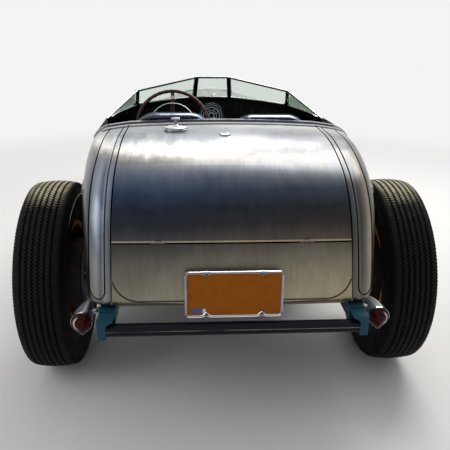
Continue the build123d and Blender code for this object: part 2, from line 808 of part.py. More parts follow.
def tyre(centre, radius, width, bead_width):
    """A tyre about its wheel's centre."""
    bead = rim_radius + seat_gap
    half_bead = bead_width / 2
    half = width / 2
    # Half the section from the bead out: x, radius
    edge = [
        (half_bead, bead), (half_bead, bead + rim_flange_height + 2), (half, (radius + bead) / 2 - 6),
        (half - 14, radius - 14), (half - 32, radius),
    ]
    return turned(edge + [(-x, r) for x, r in reversed(edge)], centre)


def wheel(centre, side, rim_width, drum_edge, drum_r, bore):
    """Rim, dished disc, closed hub and drum: (inboard of the centre plane, radius)."""
    half = rim_width / 2
    barrel = rim_radius - rim_thickness
    flange = rim_radius + rim_flange_height
    lip = half - 5.0
    hub_end = drum_edge - 4.0
    section = [
        (half, barrel), (half, flange), (lip, flange), (lip, rim_radius),
        (-lip, rim_radius), (-lip, flange), (-half, flange), (-half, barrel),
        (-20, barrel), (-24, 160), (-12, 110), (-12, 62), (-36, 56), (-36, 0), (-26, 0), (-26, bore),
        (hub_end, bore), (hub_end, bore + 14), (14, bore + 18), (14, drum_r - 8),
        (drum_edge, drum_r - 8), (drum_edge, drum_r), (4, drum_r), (-14, 164), (-10, barrel),
    ]
    return turned([(-side * x, r) for x, r in section], centre)


# Knuckles: ears round the axle boss, web, spindle, backing plate and steering arm
ear_thickness = 15.0
ear_gap = 0.3
arm_tip_radius = 15.0
arm_thickness = 12.0
arm_z = kingpin_z - boss_half - ear_gap - ear_thickness
web_x = kingpin_x + 30.0
web_thickness = 14.0
front_backing_x = web_x + web_thickness
front_backing_radius = 128.0
front_backing_thickness = 8.0
front_wheel_x = front_track / 2
front_spindle_radius = 15.0
for side, name in ((-1, "left"), (1, "right")):
    pin = at(side * kingpin_x, wheelbase, kingpin_z)
    with BuildPart() as knuckle:
        low_z = arm_z
        high_z = kingpin_z + boss_half + ear_gap
        for z in (low_z, high_z):
            xs = sorted((side * (kingpin_x - 22), side * (web_x + web_thickness)))
            add(block(at(xs[0], wheelbase - 22, z), at(xs[1], wheelbase + 22, z + ear_thickness)))
        xs = sorted((side * web_x, side * (web_x + web_thickness)))
        add(block(at(xs[0], wheelbase - 22, low_z), at(xs[1], wheelbase + 22, high_z + ear_thickness)))
        add(rod((pin[0], pin[1], low_z), (pin[0], pin[1], high_z + ear_thickness), kingpin_radius))
        add(rod(
            at(side * web_x, wheelbase, kingpin_z), at(side * (front_wheel_x + 20), wheelbase, kingpin_z),
            front_spindle_radius,
        ))
        plate_end = side * (front_backing_x + front_backing_thickness)
        add(rod(
            at(side * front_backing_x, wheelbase, kingpin_z), at(plate_end, wheelbase, kingpin_z),
            front_backing_radius,
        ))
        x = side * kingpin_x
        add(block(
            at(x - 13, wheelbase - steering_arm_length, low_z), at(x + 13, wheelbase, low_z + arm_thickness)
        ))
        tip = at(x, wheelbase - steering_arm_length, low_z)
        add(rod(tip, (tip[0], tip[1], low_z + arm_thickness), arm_tip_radius))
    save(knuckle, f"knuckle_{name}")

# Wheels: name, side, distance ahead, wheel centre x, tyre radius, tyre width, rim width, drum edge, bore
front_drum_radius = 135.0
rear_drum_edge = rear_wheel_x - backing_x - backing_thickness - panel_gap
front_drum_edge = front_wheel_x - front_backing_x - front_backing_thickness - panel_gap
wheel_table = [
    ("rear_left", -1, 0, rear_wheel_x, rear_tyre_radius, rear_tyre_width, rear_rim_width, rear_drum_edge),
    ("rear_right", 1, 0, rear_wheel_x, rear_tyre_radius, rear_tyre_width, rear_rim_width, rear_drum_edge),
    ("front_left", -1, wheelbase, front_wheel_x, front_tyre_radius, front_tyre_width, front_rim_width, front_drum_edge),
    ("front_right", 1, wheelbase, front_wheel_x, front_tyre_radius, front_tyre_width, front_rim_width, front_drum_edge),
]
for name, side, station, x, radius, width, rim_width, drum_edge in wheel_table:
    centre = at(side * x, station, radius)
    drum_r = front_drum_radius if station else drum_radius
    bore = (front_spindle_radius if station else spindle_radius) + bearing_gap
    with BuildPart() as tyre_piece:
        add(tyre(centre, radius, width, rim_width - 10.6))
    save(tyre_piece, f"tyre_{name}")
    with BuildPart() as wheel_piece:
        add(wheel(centre, side, rim_width, drum_edge, drum_r, bore))
    save(wheel_piece, f"wheel_{name}")

# Tie rod under the arms' tips
tie_rod_radius = 10.0
tie_rod_eye_half = 12.0
with BuildPart() as tie_rod:
    z = arm_z - seat_gap - tie_rod_eye_half
    station = wheelbase - steering_arm_length
    add(rod(at(-kingpin_x, station, z), at(kingpin_x, station, z), tie_rod_radius))
    for side in (-1, 1):
        x = side * kingpin_x
        add(rod(at(x, station, z - tie_rod_eye_half), at(x, station, z + tie_rod_eye_half), arm_tip_radius))
save(tie_rod, "tie_rod")

# Engine and gearbox as one plain block
engine_front = 2430.0
engine_rear = 1830.0
sump_z = 330.0
gearbox_z = centre_tube[1] + centre_tube[2] + seat_gap
engine_outline = [
    (-120, sump_z), (120, sump_z), (165, 480), (275, 620), (225, 740), (90, 690),
    (-90, 690), (-225, 740), (-275, 620), (-165, 480),
]


def engine_block(grow):
    with BuildPart() as form:
        with BuildSketch(Plane(origin=at(0, engine_front, 0), x_dir=(1, 0, 0), z_dir=(0, -1, 0))):
            with BuildLine():
                Polyline(engine_outline, close=True)
            make_face()
            if grow:
                offset(amount=grow, kind=Kind.INTERSECTION)
        extrude(amount=engine_front - engine_rear)
    return form.part


with BuildPart() as engine:
    add(engine_block(0.0))
    add(block(at(-gearbox_half_width, 1260, gearbox_z), at(gearbox_half_width, engine_rear, gearbox_top_z)))
    mount = rail_inner_x(2290.0) - seat_gap
    add(block(at(-mount, 2250, 400), at(mount, 2290, 440)))
    add(rod(at(0, 2130, 660), at(0, 2130, 790), 60.0))
    add(rod(at(0, 2130, 740), at(0, 2130, 800), 145.0))
save(engine, "engine")

# Exhaust pipes: out of the engine's sides, down, and back under the floor
pipe_radius = 25.0
pipe_wall = 3.0
pipe_x = 320.0
pipe_z = floor_z - seat_gap - pipe_radius
port_station = 2130.0
port_z = 612.0
pipe_rear = 420.0
with BuildPart() as exhaust:
    for side in (-1, 1):
        with BuildLine():
            route = FilletPolyline(
                at(side * 200, port_station, port_z), at(side * pipe_x, port_station, port_z),
                at(side * pipe_x, port_station - 170, pipe_z), at(side * pipe_x, pipe_rear, pipe_z),
                radius=60.0,
            )
        with BuildSketch(Plane(origin=route @ 0, z_dir=route % 0)):
            Circle(pipe_radius)
        sweep(path=route)
    add(engine_block(seat_gap), mode=Mode.SUBTRACT)
    for side in (-1, 1):
        x = side * pipe_x
        bore = pipe_radius - pipe_wall
        add(rod(at(x, pipe_rear - 1, pipe_z), at(x, pipe_rear + 80, pipe_z), bore), mode=Mode.SUBTRACT)
save(exhaust, "exhaust")

with BuildPart() as radiator:
    z = radiator_tube[1] + radiator_tube[2] + seat_gap
    front = grille_y - rear_axle_y - 8.0
    add(block(at(-215, front - 47, z), at(215, front, 840)))
save(radiator, "radiator")


def hood_section(half_width, top_z, bottom_z, corner, inset, station):
    """One section of the hood: sides, round shoulders and a crowned top."""
    w = half_width - inset
    top = top_z - inset
    shoulder = top_z - half_width * half_width / 6000.0 - inset
    r = corner - inset
    k = r * (1 - sqrt(0.5))
    with BuildSketch(Plane(origin=at(0, station, 0), x_dir=(1, 0, 0), z_dir=(0, -1, 0))) as section:
        with BuildLine():
            side = Line((w, bottom_z), (w, shoulder - r))
            right = ThreePointArc(side @ 1, (w - k, shoulder - k), (w - r, shoulder))
            crown = ThreePointArc(right @ 1, (0, top), (-w + r, shoulder))
            left = ThreePointArc(crown @ 1, (-w + k, shoulder - k), (-w, shoulder - r))
            far = Line(left @ 1, (-w, bottom_z))
            Line(far @ 1, side @ 0)
        make_face()
    return section.sketch


hood_rear = 1750.0
hood_front = grille_y - rear_axle_y
grille_corner = 120.0
louvre_count = 18
louvre_pitch = 30.0
louvre_first = 1890.0
louvre_radius = 6.5
louvre_sunk = 2.0
louvre_low_z = 570.0
louvre_high_z = 730.0


def hood_form(inset, bottom):
    with BuildPart() as form:
        add(hood_section(hood_rear_half_width, hood_rear_top_z, bottom, body_corner_radius, inset, hood_rear))
        add(hood_section(grille_half_width, grille_top_z, bottom, grille_corner, inset, hood_front))
        loft()
    return form.part


with BuildPart() as hood_shell:
    add(hood_form(0.0, hood_bottom_z))
    add(hood_form(hood_wall, hood_bottom_z - 20), mode=Mode.SUBTRACT)
with BuildPart() as hood_sides:
    add(hood_shell.part)
    add(block(
        at(-900, hood_rear + seat_gap, 0), at(900, hood_front - seat_gap, hood_split_z - panel_gap / 2)
    ), mode=Mode.INTERSECT)
    # Louvres pressed outwards in a row on each side
    narrowing = (hood_rear_half_width - grille_half_width) / (hood_front - hood_rear)
    for i in range(louvre_count):
        station = louvre_first + i * louvre_pitch
        x = hood_rear_half_width - narrowing * (station - hood_rear) - louvre_sunk
        for side in (-1, 1):
            add(rod(at(side * x, station, louvre_low_z), at(side * x, station, louvre_high_z), louvre_radius))
save(hood_sides, "hood_sides")
hinge_rod = 6.0
hood_crest = [at(0, hood_rear, hood_rear_top_z), at(0, hood_front, grille_top_z)]
for side, name in ((-1, "left"), (1, "right")):
    with BuildPart() as hood_half:
        add(hood_shell.part)
        xs = sorted((side * (hinge_rod + bearing_gap), side * 900))
        add(block(
            at(xs[0], hood_rear + panel_gap, hood_split_z + panel_gap / 2), at(xs[1], hood_front - panel_gap, 1200)
        ), mode=Mode.INTERSECT)
    save(hood_half, f"hood_{name}")
with BuildPart() as hood_hinge:
    slope = (grille_top_z - hood_rear_top_z) / (hood_front - hood_rear)
    start = at(0, hood_rear + seat_gap, hood_rear_top_z + slope * seat_gap)
    end = at(0, hood_front - seat_gap, grille_top_z - slope * seat_gap)
    add(rod(start, end, hinge_rod))
    add(block(at(-30, hood_rear, 0), at(30, hood_rear + seat_gap, 1200)), mode=Mode.SUBTRACT)
    add(block(at(-30, hood_front - seat_gap, 0), at(30, hood_front + 9, 1200)), mode=Mode.SUBTRACT)
save(hood_hinge, "hood_hinge")

# Grille shell and its bars
shell_wall = 16.0
opening_margin = 34.0
shell_foot = 0.80
with BuildPart() as grille_shell:
    y = rear_axle_y + hood_front + grille_depth
    plane = Plane(origin=(0, y, 0), x_dir=(1, 0, 0), z_dir=(0, -1, 0))
    w = grille_half_width
    foot = shell_foot * w
    with BuildSketch(plane) as shell_face:
        with BuildLine():
            Polyline([
                (-foot, grille_bottom_z), (foot, grille_bottom_z), (w, 560), (w, grille_top_z - 14),
                (0, grille_top_z + 2), (-w, grille_top_z - 14), (-w, 560),
            ], close=True)
        make_face()
        fillet(shell_face.vertices().filter_by(lambda v: v.Y > 700 and abs(v.X) > 10), radius=grille_corner)
        fillet(shell_face.vertices().filter_by(lambda v: v.Y < 600), radius=60)
    extrude(amount=grille_depth)
    with BuildSketch(plane.offset(grille_depth)):
        add(shell_face.sketch)
        offset(amount=-shell_wall)
    extrude(amount=-(grille_depth - shell_wall), mode=Mode.SUBTRACT)
    with BuildSketch(plane.offset(grille_depth)) as grille_hole:
        add(shell_face.sketch)
        offset(amount=-opening_margin)
    extrude(amount=-grille_depth - 1, mode=Mode.SUBTRACT)
save(grille_shell, "grille_shell")

with BuildPart() as grille_bars:
    pitch = 2 * (grille_half_width - opening_margin) / (bar_count + 1)
    face = rear_axle_y + hood_front + grille_depth - 3.0
    with BuildSketch(Plane(origin=(0, face, 0), x_dir=(1, 0, 0), z_dir=(0, -1, 0))):
        add(grille_hole.sketch)
        offset(amount=-seat_gap)
        with Locations([((i - (bar_count - 1) / 2) * pitch, 650) for i in range(bar_count)]):
            Rectangle(bar_width, 900, mode=Mode.INTERSECT)
    extrude(amount=bar_width * 2)
save(grille_bars, "grille_bars")

# Steering wheel and column
column_tilt = 22.0
wheel_centre = at(-250, 1159, 806)
rim_grip = 216.0
rim_grip_radius = 11.0
horn_ring = 118.0
column_radius = 20.0
shaft_radius = 10.0
hub_length = 40.0
tilt = radians(column_tilt)
column_up = Vector(0, -cos(tilt), sin(tilt))
hub_back = Vector(*wheel_centre) - column_up * (hub_length / 2)
column_foot_y = rear_axle_y + 1750 - firewall_thickness - seat_gap
with BuildPart() as steering_wheel:
    plane = Plane(origin=wheel_centre, x_dir=(1, 0, 0), z_dir=column_up)
    with BuildSketch(plane.offset(-hub_length / 2)):
        Circle(34.0)
    extrude(amount=hub_length)
    with BuildSketch(Plane(origin=wheel_centre, x_dir=(1, 0, 0), z_dir=-plane.y_dir)):
        with Locations((rim_grip, 0)):
            Circle(rim_grip_radius)
    revolve(axis=Axis(wheel_centre, column_up))
    with BuildSketch(Plane(origin=wheel_centre, x_dir=(1, 0, 0), z_dir=-plane.y_dir)):
        with Locations((horn_ring, 18.0)):
            Circle(4.0)
    revolve(axis=Axis(wheel_centre, column_up))
    for angle in (90.0, 210.0, 330.0):
        out = plane.x_dir * cos(radians(angle)) + plane.y_dir * sin(radians(angle))
        centre = Vector(*wheel_centre)
        add(rod(tuple(centre + out * 20), tuple(centre + out * (rim_grip - 3)), 6.0))
        add(rod(tuple(centre + out * 20), tuple(centre + out * horn_ring + column_up * 18.0), 3.5))
    with BuildSketch(plane.offset(-hub_length / 2)):
        Circle(shaft_radius + bearing_gap)
    extrude(amount=hub_length - 12.0, mode=Mode.SUBTRACT)
save(steering_wheel, "steering_wheel")

with BuildPart() as steering_column:
    top = hub_back - column_up * seat_gap
    foot = top - column_up * 700.0
    add(rod(tuple(foot), tuple(top), column_radius))
    add(rod(tuple(top), tuple(top + column_up * (hub_length - 16.0)), shaft_radius))
    drop = at(-250, 1565, 0)
    add(block((drop[0] - 14, drop[1] - 4, 650), (drop[0] + 14, drop[1] + 4, dash_bottom_z - seat_gap)))
    add(block((-400, column_foot_y, 0), (0, column_foot_y + 400, 900)), mode=Mode.SUBTRACT)
    add(rod((-250, column_foot_y - 8, 576), (-250, column_foot_y, 576), 45.0))
save(steering_column, "steering_column")

# Bucket seats: x centre, and the shell's half width
seat_x = 215.0
seat_half_width = 182.0
seat_wall = 8.0
seat_rear = 285.0
seat_front = 830.0
seat_base_top = 640.0
back_tops = [(-1, 992.0), (1, 984.0)]
back_lean = 14.0
floor_top = floor_z + floor_thickness
with BuildPart() as seat_shells:
    for side, back_top in back_tops:
        x = side * seat_x
        w = seat_half_width
        low_z = floor_top + seat_gap
        add(block(at(x - w, seat_rear + 120, low_z), at(x + w, seat_front, seat_base_top)))
        add(block(
            at(x - w + seat_wall, seat_rear + 120 + seat_wall, low_z + 90),
            at(x + w - seat_wall, seat_front - seat_wall, seat_base_top + 1),
        ), mode=Mode.SUBTRACT)
        lean = radians(back_lean)
        back_plane = Plane(
            origin=at(x, seat_rear + 110, low_z + 30), x_dir=(-1, 0, 0), z_dir=(0, cos(lean), sin(lean))
        )
        back_height = (back_top - low_z - 30) / cos(lean)
        for cut in (0.0, seat_wall):
            with BuildSketch(back_plane.offset(cut)):
                with Locations((0, back_height / 2)):
                    RectangleRounded(2 * (w - cut), back_height - 2 * cut, 110 - cut)
            extrude(amount=70.0, mode=Mode.SUBTRACT if cut else Mode.ADD)
save(seat_shells, "seat_shells")

with BuildPart() as seat_pads:
    for side in (-1, 1):
        x = side * seat_x
        w = seat_half_width - seat_wall - 6.0
        base = floor_top + seat_gap + 90 + seat_gap
        add(block(at(x - w, seat_rear + 215, base), at(x + w, seat_front - seat_wall - 4, seat_base_top + 10)))
        plane = Plane(
            origin=at(x, seat_rear + 110, floor_top + seat_gap + 30), x_dir=(-1, 0, 0),
            z_dir=(0, cos(radians(back_lean)), sin(radians(back_lean))),
        )
        with BuildSketch(plane.offset(seat_wall + seat_gap)):
            with Locations((0, 318)):
                RectangleRounded(2 * (w - 6), 230, 70)
        extrude(amount=45.0)
save(seat_pads, "seat_pads")

# Licence plate and its frame, on two studs
plate_width = 304.0
plate_height = 152.0
plate_z = 545.0
plate_back = rear_axle_y - 557.0
frame_border = 5.0
with BuildPart() as plate_frame:
    plane = Plane(origin=(0, plate_back, plate_z), x_dir=(1, 0, 0), z_dir=(0, -1, 0))
    with BuildSketch(plane):
        RectangleRounded(plate_width + 2 * frame_border, plate_height + 2 * frame_border, 12)
        RectangleRounded(plate_width - 12, plate_height - 12, 8, mode=Mode.SUBTRACT)
    extrude(amount=9.0)
    with BuildSketch(plane.offset(2.0)):
        RectangleRounded(plate_width, plate_height, 9)
    extrude(amount=2.6, mode=Mode.SUBTRACT)
    for side in (-1, 1):
        x = side * 147.5
        add(rod((x, plate_back + 60, 590), (x, plate_back - 1, 590), 5.0))
    add(clear, mode=Mode.SUBTRACT)
save(plate_frame, "plate_frame")
with BuildPart() as licence_plate:
    with BuildSketch(plane.offset(2.0 + seat_gap)):
        RectangleRounded(plate_width - 0.6, plate_height - 0.6, 8.7)
    extrude(amount=2.0)
save(licence_plate, "licence_plate")

# Tail lamps: pointed bullet housings on arms from the rails, with domed lenses
lamp_x = 498.0
lamp_z = 423.0
lamp_face = -500.0
lamp_radius = 35.0
lens_radius = 31.0
lens_depth = 8.0
lens_dome = 20.0
lens_dome_radius = 78.0
# Housing sections: distance ahead of the face, share of its size there
lamp_sections = [(0.0, 1.0), (70.0, 0.82), (150.0, 0.2)]


def lamp_face_plane(side, ahead):
    origin = at(side * lamp_x, lamp_face + ahead, lamp_z)
    return Plane(origin=origin, x_dir=(1, 0, 0), z_dir=(0, -1, 0))


def teardrop(radius):
    """A round lamp's outline drawn down to a blunt point."""
    with BuildSketch() as outline:
        Circle(radius)
        with Locations((0, -1.12 * radius)):
            Circle(0.16 * radius)
        make_hull()
    return outline.sketch


def lamp_housing(side):
    with BuildPart() as shell:
        for ahead, share in reversed(lamp_sections):
            with BuildSketch(lamp_face_plane(side, ahead)):
                add(teardrop(lamp_radius * share))
        loft()
        with BuildSketch(lamp_face_plane(side, 0.0)):
            add(teardrop(lens_radius))
        extrude(amount=-lens_depth, mode=Mode.SUBTRACT)
    return shell.part


def lamp_lens(side):
    with BuildPart() as lens:
        with BuildSketch(lamp_face_plane(side, lens_depth - seat_gap)):
            add(teardrop(lens_radius))
            offset(amount=-seat_gap)
        extrude(amount=lens_depth + lens_dome)
        with Locations(at(side * lamp_x, lamp_face - lens_dome + lens_dome_radius, lamp_z)):
            Sphere(lens_dome_radius, mode=Mode.INTERSECT)
    return lens.part


with BuildPart() as tail_lamps:
    for side in (-1, 1):
        add(lamp_housing(side))
        start = at(side * 425.0, lamp_face + 48, 452)
        add(rod(start, at(side * (lamp_x - 22), lamp_face + 48, 432), 8.0))
    for side in (-1, 1):
        face = rail_inner_x(lamp_face + 60) + rail_width + seat_gap
        xs = sorted((0, side * face))
        add(block(at(xs[0], lamp_face, 380), at(xs[1], lamp_face + 100, 520)), mode=Mode.SUBTRACT)
save(tail_lamps, "tail_lamps")
with BuildPart() as tail_lamp_lenses:
    for side in (-1, 1):
        add(lamp_lens(side))
save(tail_lamp_lenses, "tail_lamp_lenses")

# Headlamps on a bar between the rails
headlamp_x = 352.0
headlamp_station = wheelbase + 56.0
headlamp_z = 690.0
headlamp_radius = 92.0
bar_z = 560.0
with BuildPart() as rail_top:
    with BuildSketch(Plane.YZ.offset(-500)):
        with BuildLine():
            Polyline([
                (front_axle_y - 92, 300), (rear_axle_y + rail_front, 300),
                (rear_axle_y + rail_front, 440 + seat_gap), (front_axle_y, 462 + seat_gap),
                (front_axle_y - 92, 468),
            ], close=True)
        make_face()
    extrude(amount=1000)
with BuildPart() as headlamps:
    for side in (-1, 1):
        centre = at(side * headlamp_x, headlamp_station, headlamp_z)
        with BuildSketch(Plane(origin=centre, x_dir=(0, 1, 0), z_dir=(1, 0, 0))):
            with BuildLine():
                shell = ThreePointArc((50, headlamp_radius), (-60, 62), (-110, 4))
                Line(shell @ 1, (-110, 0))
                Line((-110, 0), (40, 0))
                Line((40, 0), (40, headlamp_radius - 8))
                Line((40, headlamp_radius - 8), (50, headlamp_radius - 8))
                Line((50, headlamp_radius - 8), shell @ 0)
            make_face()
        revolve(axis=Axis(centre, (0, 1, 0)))
        foot = at(side * (rail_inner_x(headlamp_station) + rail_width / 2), headlamp_station, 459)
        knee = at(side * headlamp_x, headlamp_station, bar_z)
        add(rod(foot, knee, 11.0))
        add(rod(knee, at(side * headlamp_x, headlamp_station, headlamp_z - 70), 11.0))
        with Locations(knee):
            Sphere(11.0)
    add(rod(at(-headlamp_x, headlamp_station, bar_z), at(headlamp_x, headlamp_station, bar_z), 11.0))
    add(rail_top.part, mode=Mode.SUBTRACT)
save(headlamps, "headlamps")
with BuildPart() as headlamp_lenses:
    for side in (-1, 1):
        centre = at(side * headlamp_x, headlamp_station, headlamp_z)
        r = headlamp_radius - 8 - seat_gap
        with BuildSketch(Plane(origin=centre, x_dir=(0, 1, 0), z_dir=(1, 0, 0))):
            with BuildLine():
                Line((40 + seat_gap, 0), (40 + seat_gap, r))
                Line((40 + seat_gap, r), (48, r))
                dome = ThreePointArc((48, r), (62, r * 0.6), (68, 2))
                Line(dome @ 1, (68, 0))
                Line((68, 0), (40 + seat_gap, 0))
            make_face()
        revolve(axis=Axis(centre, (0, 1, 0)))
save(headlamp_lenses, "headlamp_lenses")

# Rear lid's handle and lock
handle_x = -194.0
handle_station = 45.0
handle_disc = 46.0
with BuildPart() as deck_hardware:
    y = rear_axle_y + handle_station
    top = skin_z(handle_x, y)
    add(rod((handle_x, y, top - 20), (handle_x, y, top + 9), handle_disc))
    add(rod((handle_x, y, top), (handle_x, y, top + 16), 26.0))
    add(rod((handle_x, y, top), (handle_x, y, top + 46), 5.5))
    add(rod((handle_x - 24, y, top + 44), (handle_x + 24, y, top + 44), 5.5))
    lock_y = rear_axle_y - 40
    lock_top = skin_z(-4.0, lock_y)
    add(rod((-4, lock_y, lock_top - 20), (-4, lock_y, lock_top + 7), 22.0))
    add(clear, mode=Mode.SUBTRACT)
save(deck_hardware, "deck_hardware")
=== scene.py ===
import json
from math import asin, cos, exp, pi, radians, sin

import bmesh
import bpy
from mathutils import Matrix, Vector
from mathutils.bvhtree import BVHTree

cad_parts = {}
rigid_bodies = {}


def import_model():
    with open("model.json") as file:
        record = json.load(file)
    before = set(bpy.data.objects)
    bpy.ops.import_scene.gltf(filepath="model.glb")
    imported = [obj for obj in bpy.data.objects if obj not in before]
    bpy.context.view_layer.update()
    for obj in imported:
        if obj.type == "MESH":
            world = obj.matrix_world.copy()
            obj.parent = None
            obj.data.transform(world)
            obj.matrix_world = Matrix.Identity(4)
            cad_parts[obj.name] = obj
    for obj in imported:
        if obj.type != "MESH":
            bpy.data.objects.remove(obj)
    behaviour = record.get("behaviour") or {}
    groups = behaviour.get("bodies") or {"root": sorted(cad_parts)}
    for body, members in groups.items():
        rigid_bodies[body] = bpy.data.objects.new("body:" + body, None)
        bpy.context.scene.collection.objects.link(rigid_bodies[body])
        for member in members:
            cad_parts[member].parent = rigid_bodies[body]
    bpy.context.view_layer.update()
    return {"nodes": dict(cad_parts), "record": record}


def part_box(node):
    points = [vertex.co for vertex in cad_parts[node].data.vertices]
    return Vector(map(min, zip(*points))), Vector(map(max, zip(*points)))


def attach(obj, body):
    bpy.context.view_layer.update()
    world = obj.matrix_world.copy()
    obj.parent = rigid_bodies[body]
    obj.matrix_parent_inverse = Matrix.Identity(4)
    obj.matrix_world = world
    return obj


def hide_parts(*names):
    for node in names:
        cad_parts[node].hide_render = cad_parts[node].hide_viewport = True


# Street rod roadster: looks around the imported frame, in metres.
# +Y is the front of the car, +X its right side, +Z up, Z = 0 the ground.

for leftover in list(bpy.data.objects):
    bpy.data.objects.remove(leftover)
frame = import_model()
scene = bpy.context.scene
scene.view_settings.view_transform = "Standard"


# Places and directions

def middle(node):
    """The centre of a node's box."""
    low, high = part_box(node)
    return (low + high) / 2


REAR_AXLE = middle("tyre_rear_left").y
FRONT_AXLE = middle("tyre_front_left").y
REAR_RADIUS, FRONT_RADIUS = 0.381, 0.348
SIDES = ((-1, "left"), (1, "right"))
RIGHT = Vector((1, 0, 0))
FORWARD = Vector((0, 1, 0))
UP = Vector((0, 0, 1))


def at(x, station, z):
    """A place in millimetres, measured ahead of the rear axle."""
    return Vector((x / 1000, REAR_AXLE + station / 1000, z / 1000))


def spin(angle, first, second):
    """The direction at an angle from one direction towards another."""
    return first * cos(angle) + second * sin(angle)


def circle(count):
    """Angles evenly round a circle."""
    return [2 * pi * k / count for k in range(count)]


def on(plane, u, v, w=0.0):
    """A place on a plane (origin, x, y), or w along its normal from there."""
    origin, x_dir, y_dir = plane
    return origin + x_dir * u + y_dir * v + x_dir.cross(y_dir) * w


def skin(node):
    """A node's surface, for finding places on it."""
    data = frame["nodes"][node].data
    return BVHTree.FromPolygons([v.co for v in data.vertices], [tuple(p.vertices) for p in data.polygons])


def top_of(surface, x, y):
    """The highest point of a surface at one place in plan."""
    return surface.ray_cast(Vector((x, y, 1.5)), -UP)[0]


def place_object(name, data):
    """A new object in the scene."""
    made = bpy.data.objects.new(name, data)
    scene.collection.objects.link(made)
    return made


# Camera: solved from the floor tiles, the plate and the tyres

FRAME_PIXELS = 450
FOCAL_PIXELS = 533.5
SENSOR = 36.0
CAMERA_YAW, CAMERA_PITCH, CAMERA_ROLL = radians(3.38), radians(19.25), radians(0.54)
CAMERA_PLACE = Vector((-0.121, REAR_AXLE - 2.077, 1.308))


def make_camera():
    data = bpy.data.cameras.new("camera")
    data.sensor_width = SENSOR
    data.lens = FOCAL_PIXELS * SENSOR / FRAME_PIXELS
    scene.camera = place_object("camera", data)
    turns = ((-CAMERA_YAW, "Z"), (pi / 2 - CAMERA_PITCH, "X"), (CAMERA_ROLL, "Z"))
    yaw, pitch, roll = (Matrix.Rotation(angle, 4, axis) for angle, axis in turns)
    scene.camera.matrix_world = Matrix.Translation(CAMERA_PLACE) @ yaw @ pitch @ roll


make_camera()


# Shader nodes

class Value:
    """A node's output, with arithmetic that adds nodes."""

    def __init__(self, nodes, socket):
        self.nodes = nodes
        self.socket = socket

    def __add__(self, other):
        return self.nodes.math("ADD", self, other)

    def __sub__(self, other):
        return self.nodes.math("SUBTRACT", self, other)

    def __mul__(self, other):
        return self.nodes.math("MULTIPLY", self, other)

    def __abs__(self):
        return self.nodes.math("ABSOLUTE", self)

    def near(self, number, reach):
        """1 where the value lies within reach of a number, and 0 elsewhere."""
        return self.nodes.math("COMPARE", self, number, reach)

    def spread(self, low, high, to_low=0.0, to_high=1.0):
        """The value moved from one range to another, and kept inside it."""
        ends = {"From Min": low, "From Max": high, "To Min": to_low, "To Max": to_high}
        return self.nodes.node("MapRange", {"Value": self, **ends}, "Result")

    def tones(self, stops):
        """A colour ramp over the stops' own range."""
        low, high = stops[0][0], stops[-1][0]
        ramp = self.nodes.node("ValToRGB", {"Fac": self.spread(low, high)})
        elements = ramp.socket.node.color_ramp.elements
        for i, (place, color) in enumerate(stops):
            share = (place - low) / (high - low)
            element = elements[i] if i < 2 else elements.new(share)
            element.position = share
            element.color = (*color, 1.0)
        return ramp


class Nodes:
    """A node tree, and short ways to the nodes it needs."""

    def __init__(self, tree):
        self.tree = tree

    def feed(self, socket, value):
        """Links a value to a socket, or sets a number or colour on it."""
        if isinstance(value, Value):
            self.tree.links.new(value.socket, socket)
        else:
            socket.default_value = (*value, 1.0) if socket.type == "RGBA" else value

    def node(self, kind, feeds=(), output=0, **settings):
        made = self.tree.nodes.new("ShaderNode" + kind)
        for key, value in settings.items():
            setattr(made, key, value)
        for key, value in dict(feeds).items():
            self.feed(made.inputs[key], value)
        return Value(self, made.outputs[output])

    def math(self, kind, *values):
        return self.node("Math", enumerate(values), operation=kind)

    def place(self, stretch=(1.0, 1.0, 1.0)):
        """Object coordinates, stretched."""
        return self.node("Mapping", {"Vector": self.node("TexCoord", output="Object"), "Scale": stretch})

    def axes(self, vector):
        """The three parts of a vector."""
        return [self.node("SeparateXYZ", {0: vector}, i) for i in range(3)]

    def normal(self):
        return self.axes(self.node("NewGeometry", output="Normal"))

    def noise(self, scale, detail=3.0, rough=0.5, stretch=(1.0, 1.0, 1.0)):
        feeds = {"Scale": scale, "Detail": detail, "Roughness": rough, "Vector": self.place(stretch)}
        return self.node("TexNoise", feeds, "Fac")

    def mix(self, factor, first, second, blend="MIX"):
        """A mix of two colours, each a colour or a value."""
        return self.node("Mix", {0: factor, 6: first, 7: second}, 2, data_type="RGBA", blend_type=blend)

    def shade(self, first, second):
        """Two colours multiplied."""
        return self.mix(1.0, first, second, "MULTIPLY")

    def length(self, first, second):
        return self.math("SQRT", first * first + second * second)


class Shader(Nodes):
    """A material with its shader."""

    def __init__(self, name, color, **settings):
        self.material = bpy.data.materials.new(name)
        self.material.use_nodes = True
        super().__init__(self.material.node_tree)
        self.bsdf = self.tree.nodes["Principled BSDF"]
        self.set(base_color=color, **{"metallic": 0.0, "roughness": 0.5, **settings})

    def set(self, **settings):
        """Feeds the shader's own sockets."""
        for key, value in settings.items():
            self.feed(self.bsdf.inputs[key.replace("_", " ").title().replace("Ior", "IOR")], value)

    def bump(self, height, strength, distance):
        self.set(normal=self.node("Bump", {"Strength": strength, "Distance": distance, "Height": height}))


# Materials

LAMP_X, LAMP_Z, LAMP_FACE = 498.0, 423.0, -500.0
STEEL_GREY = (0.40, 0.40, 0.39)

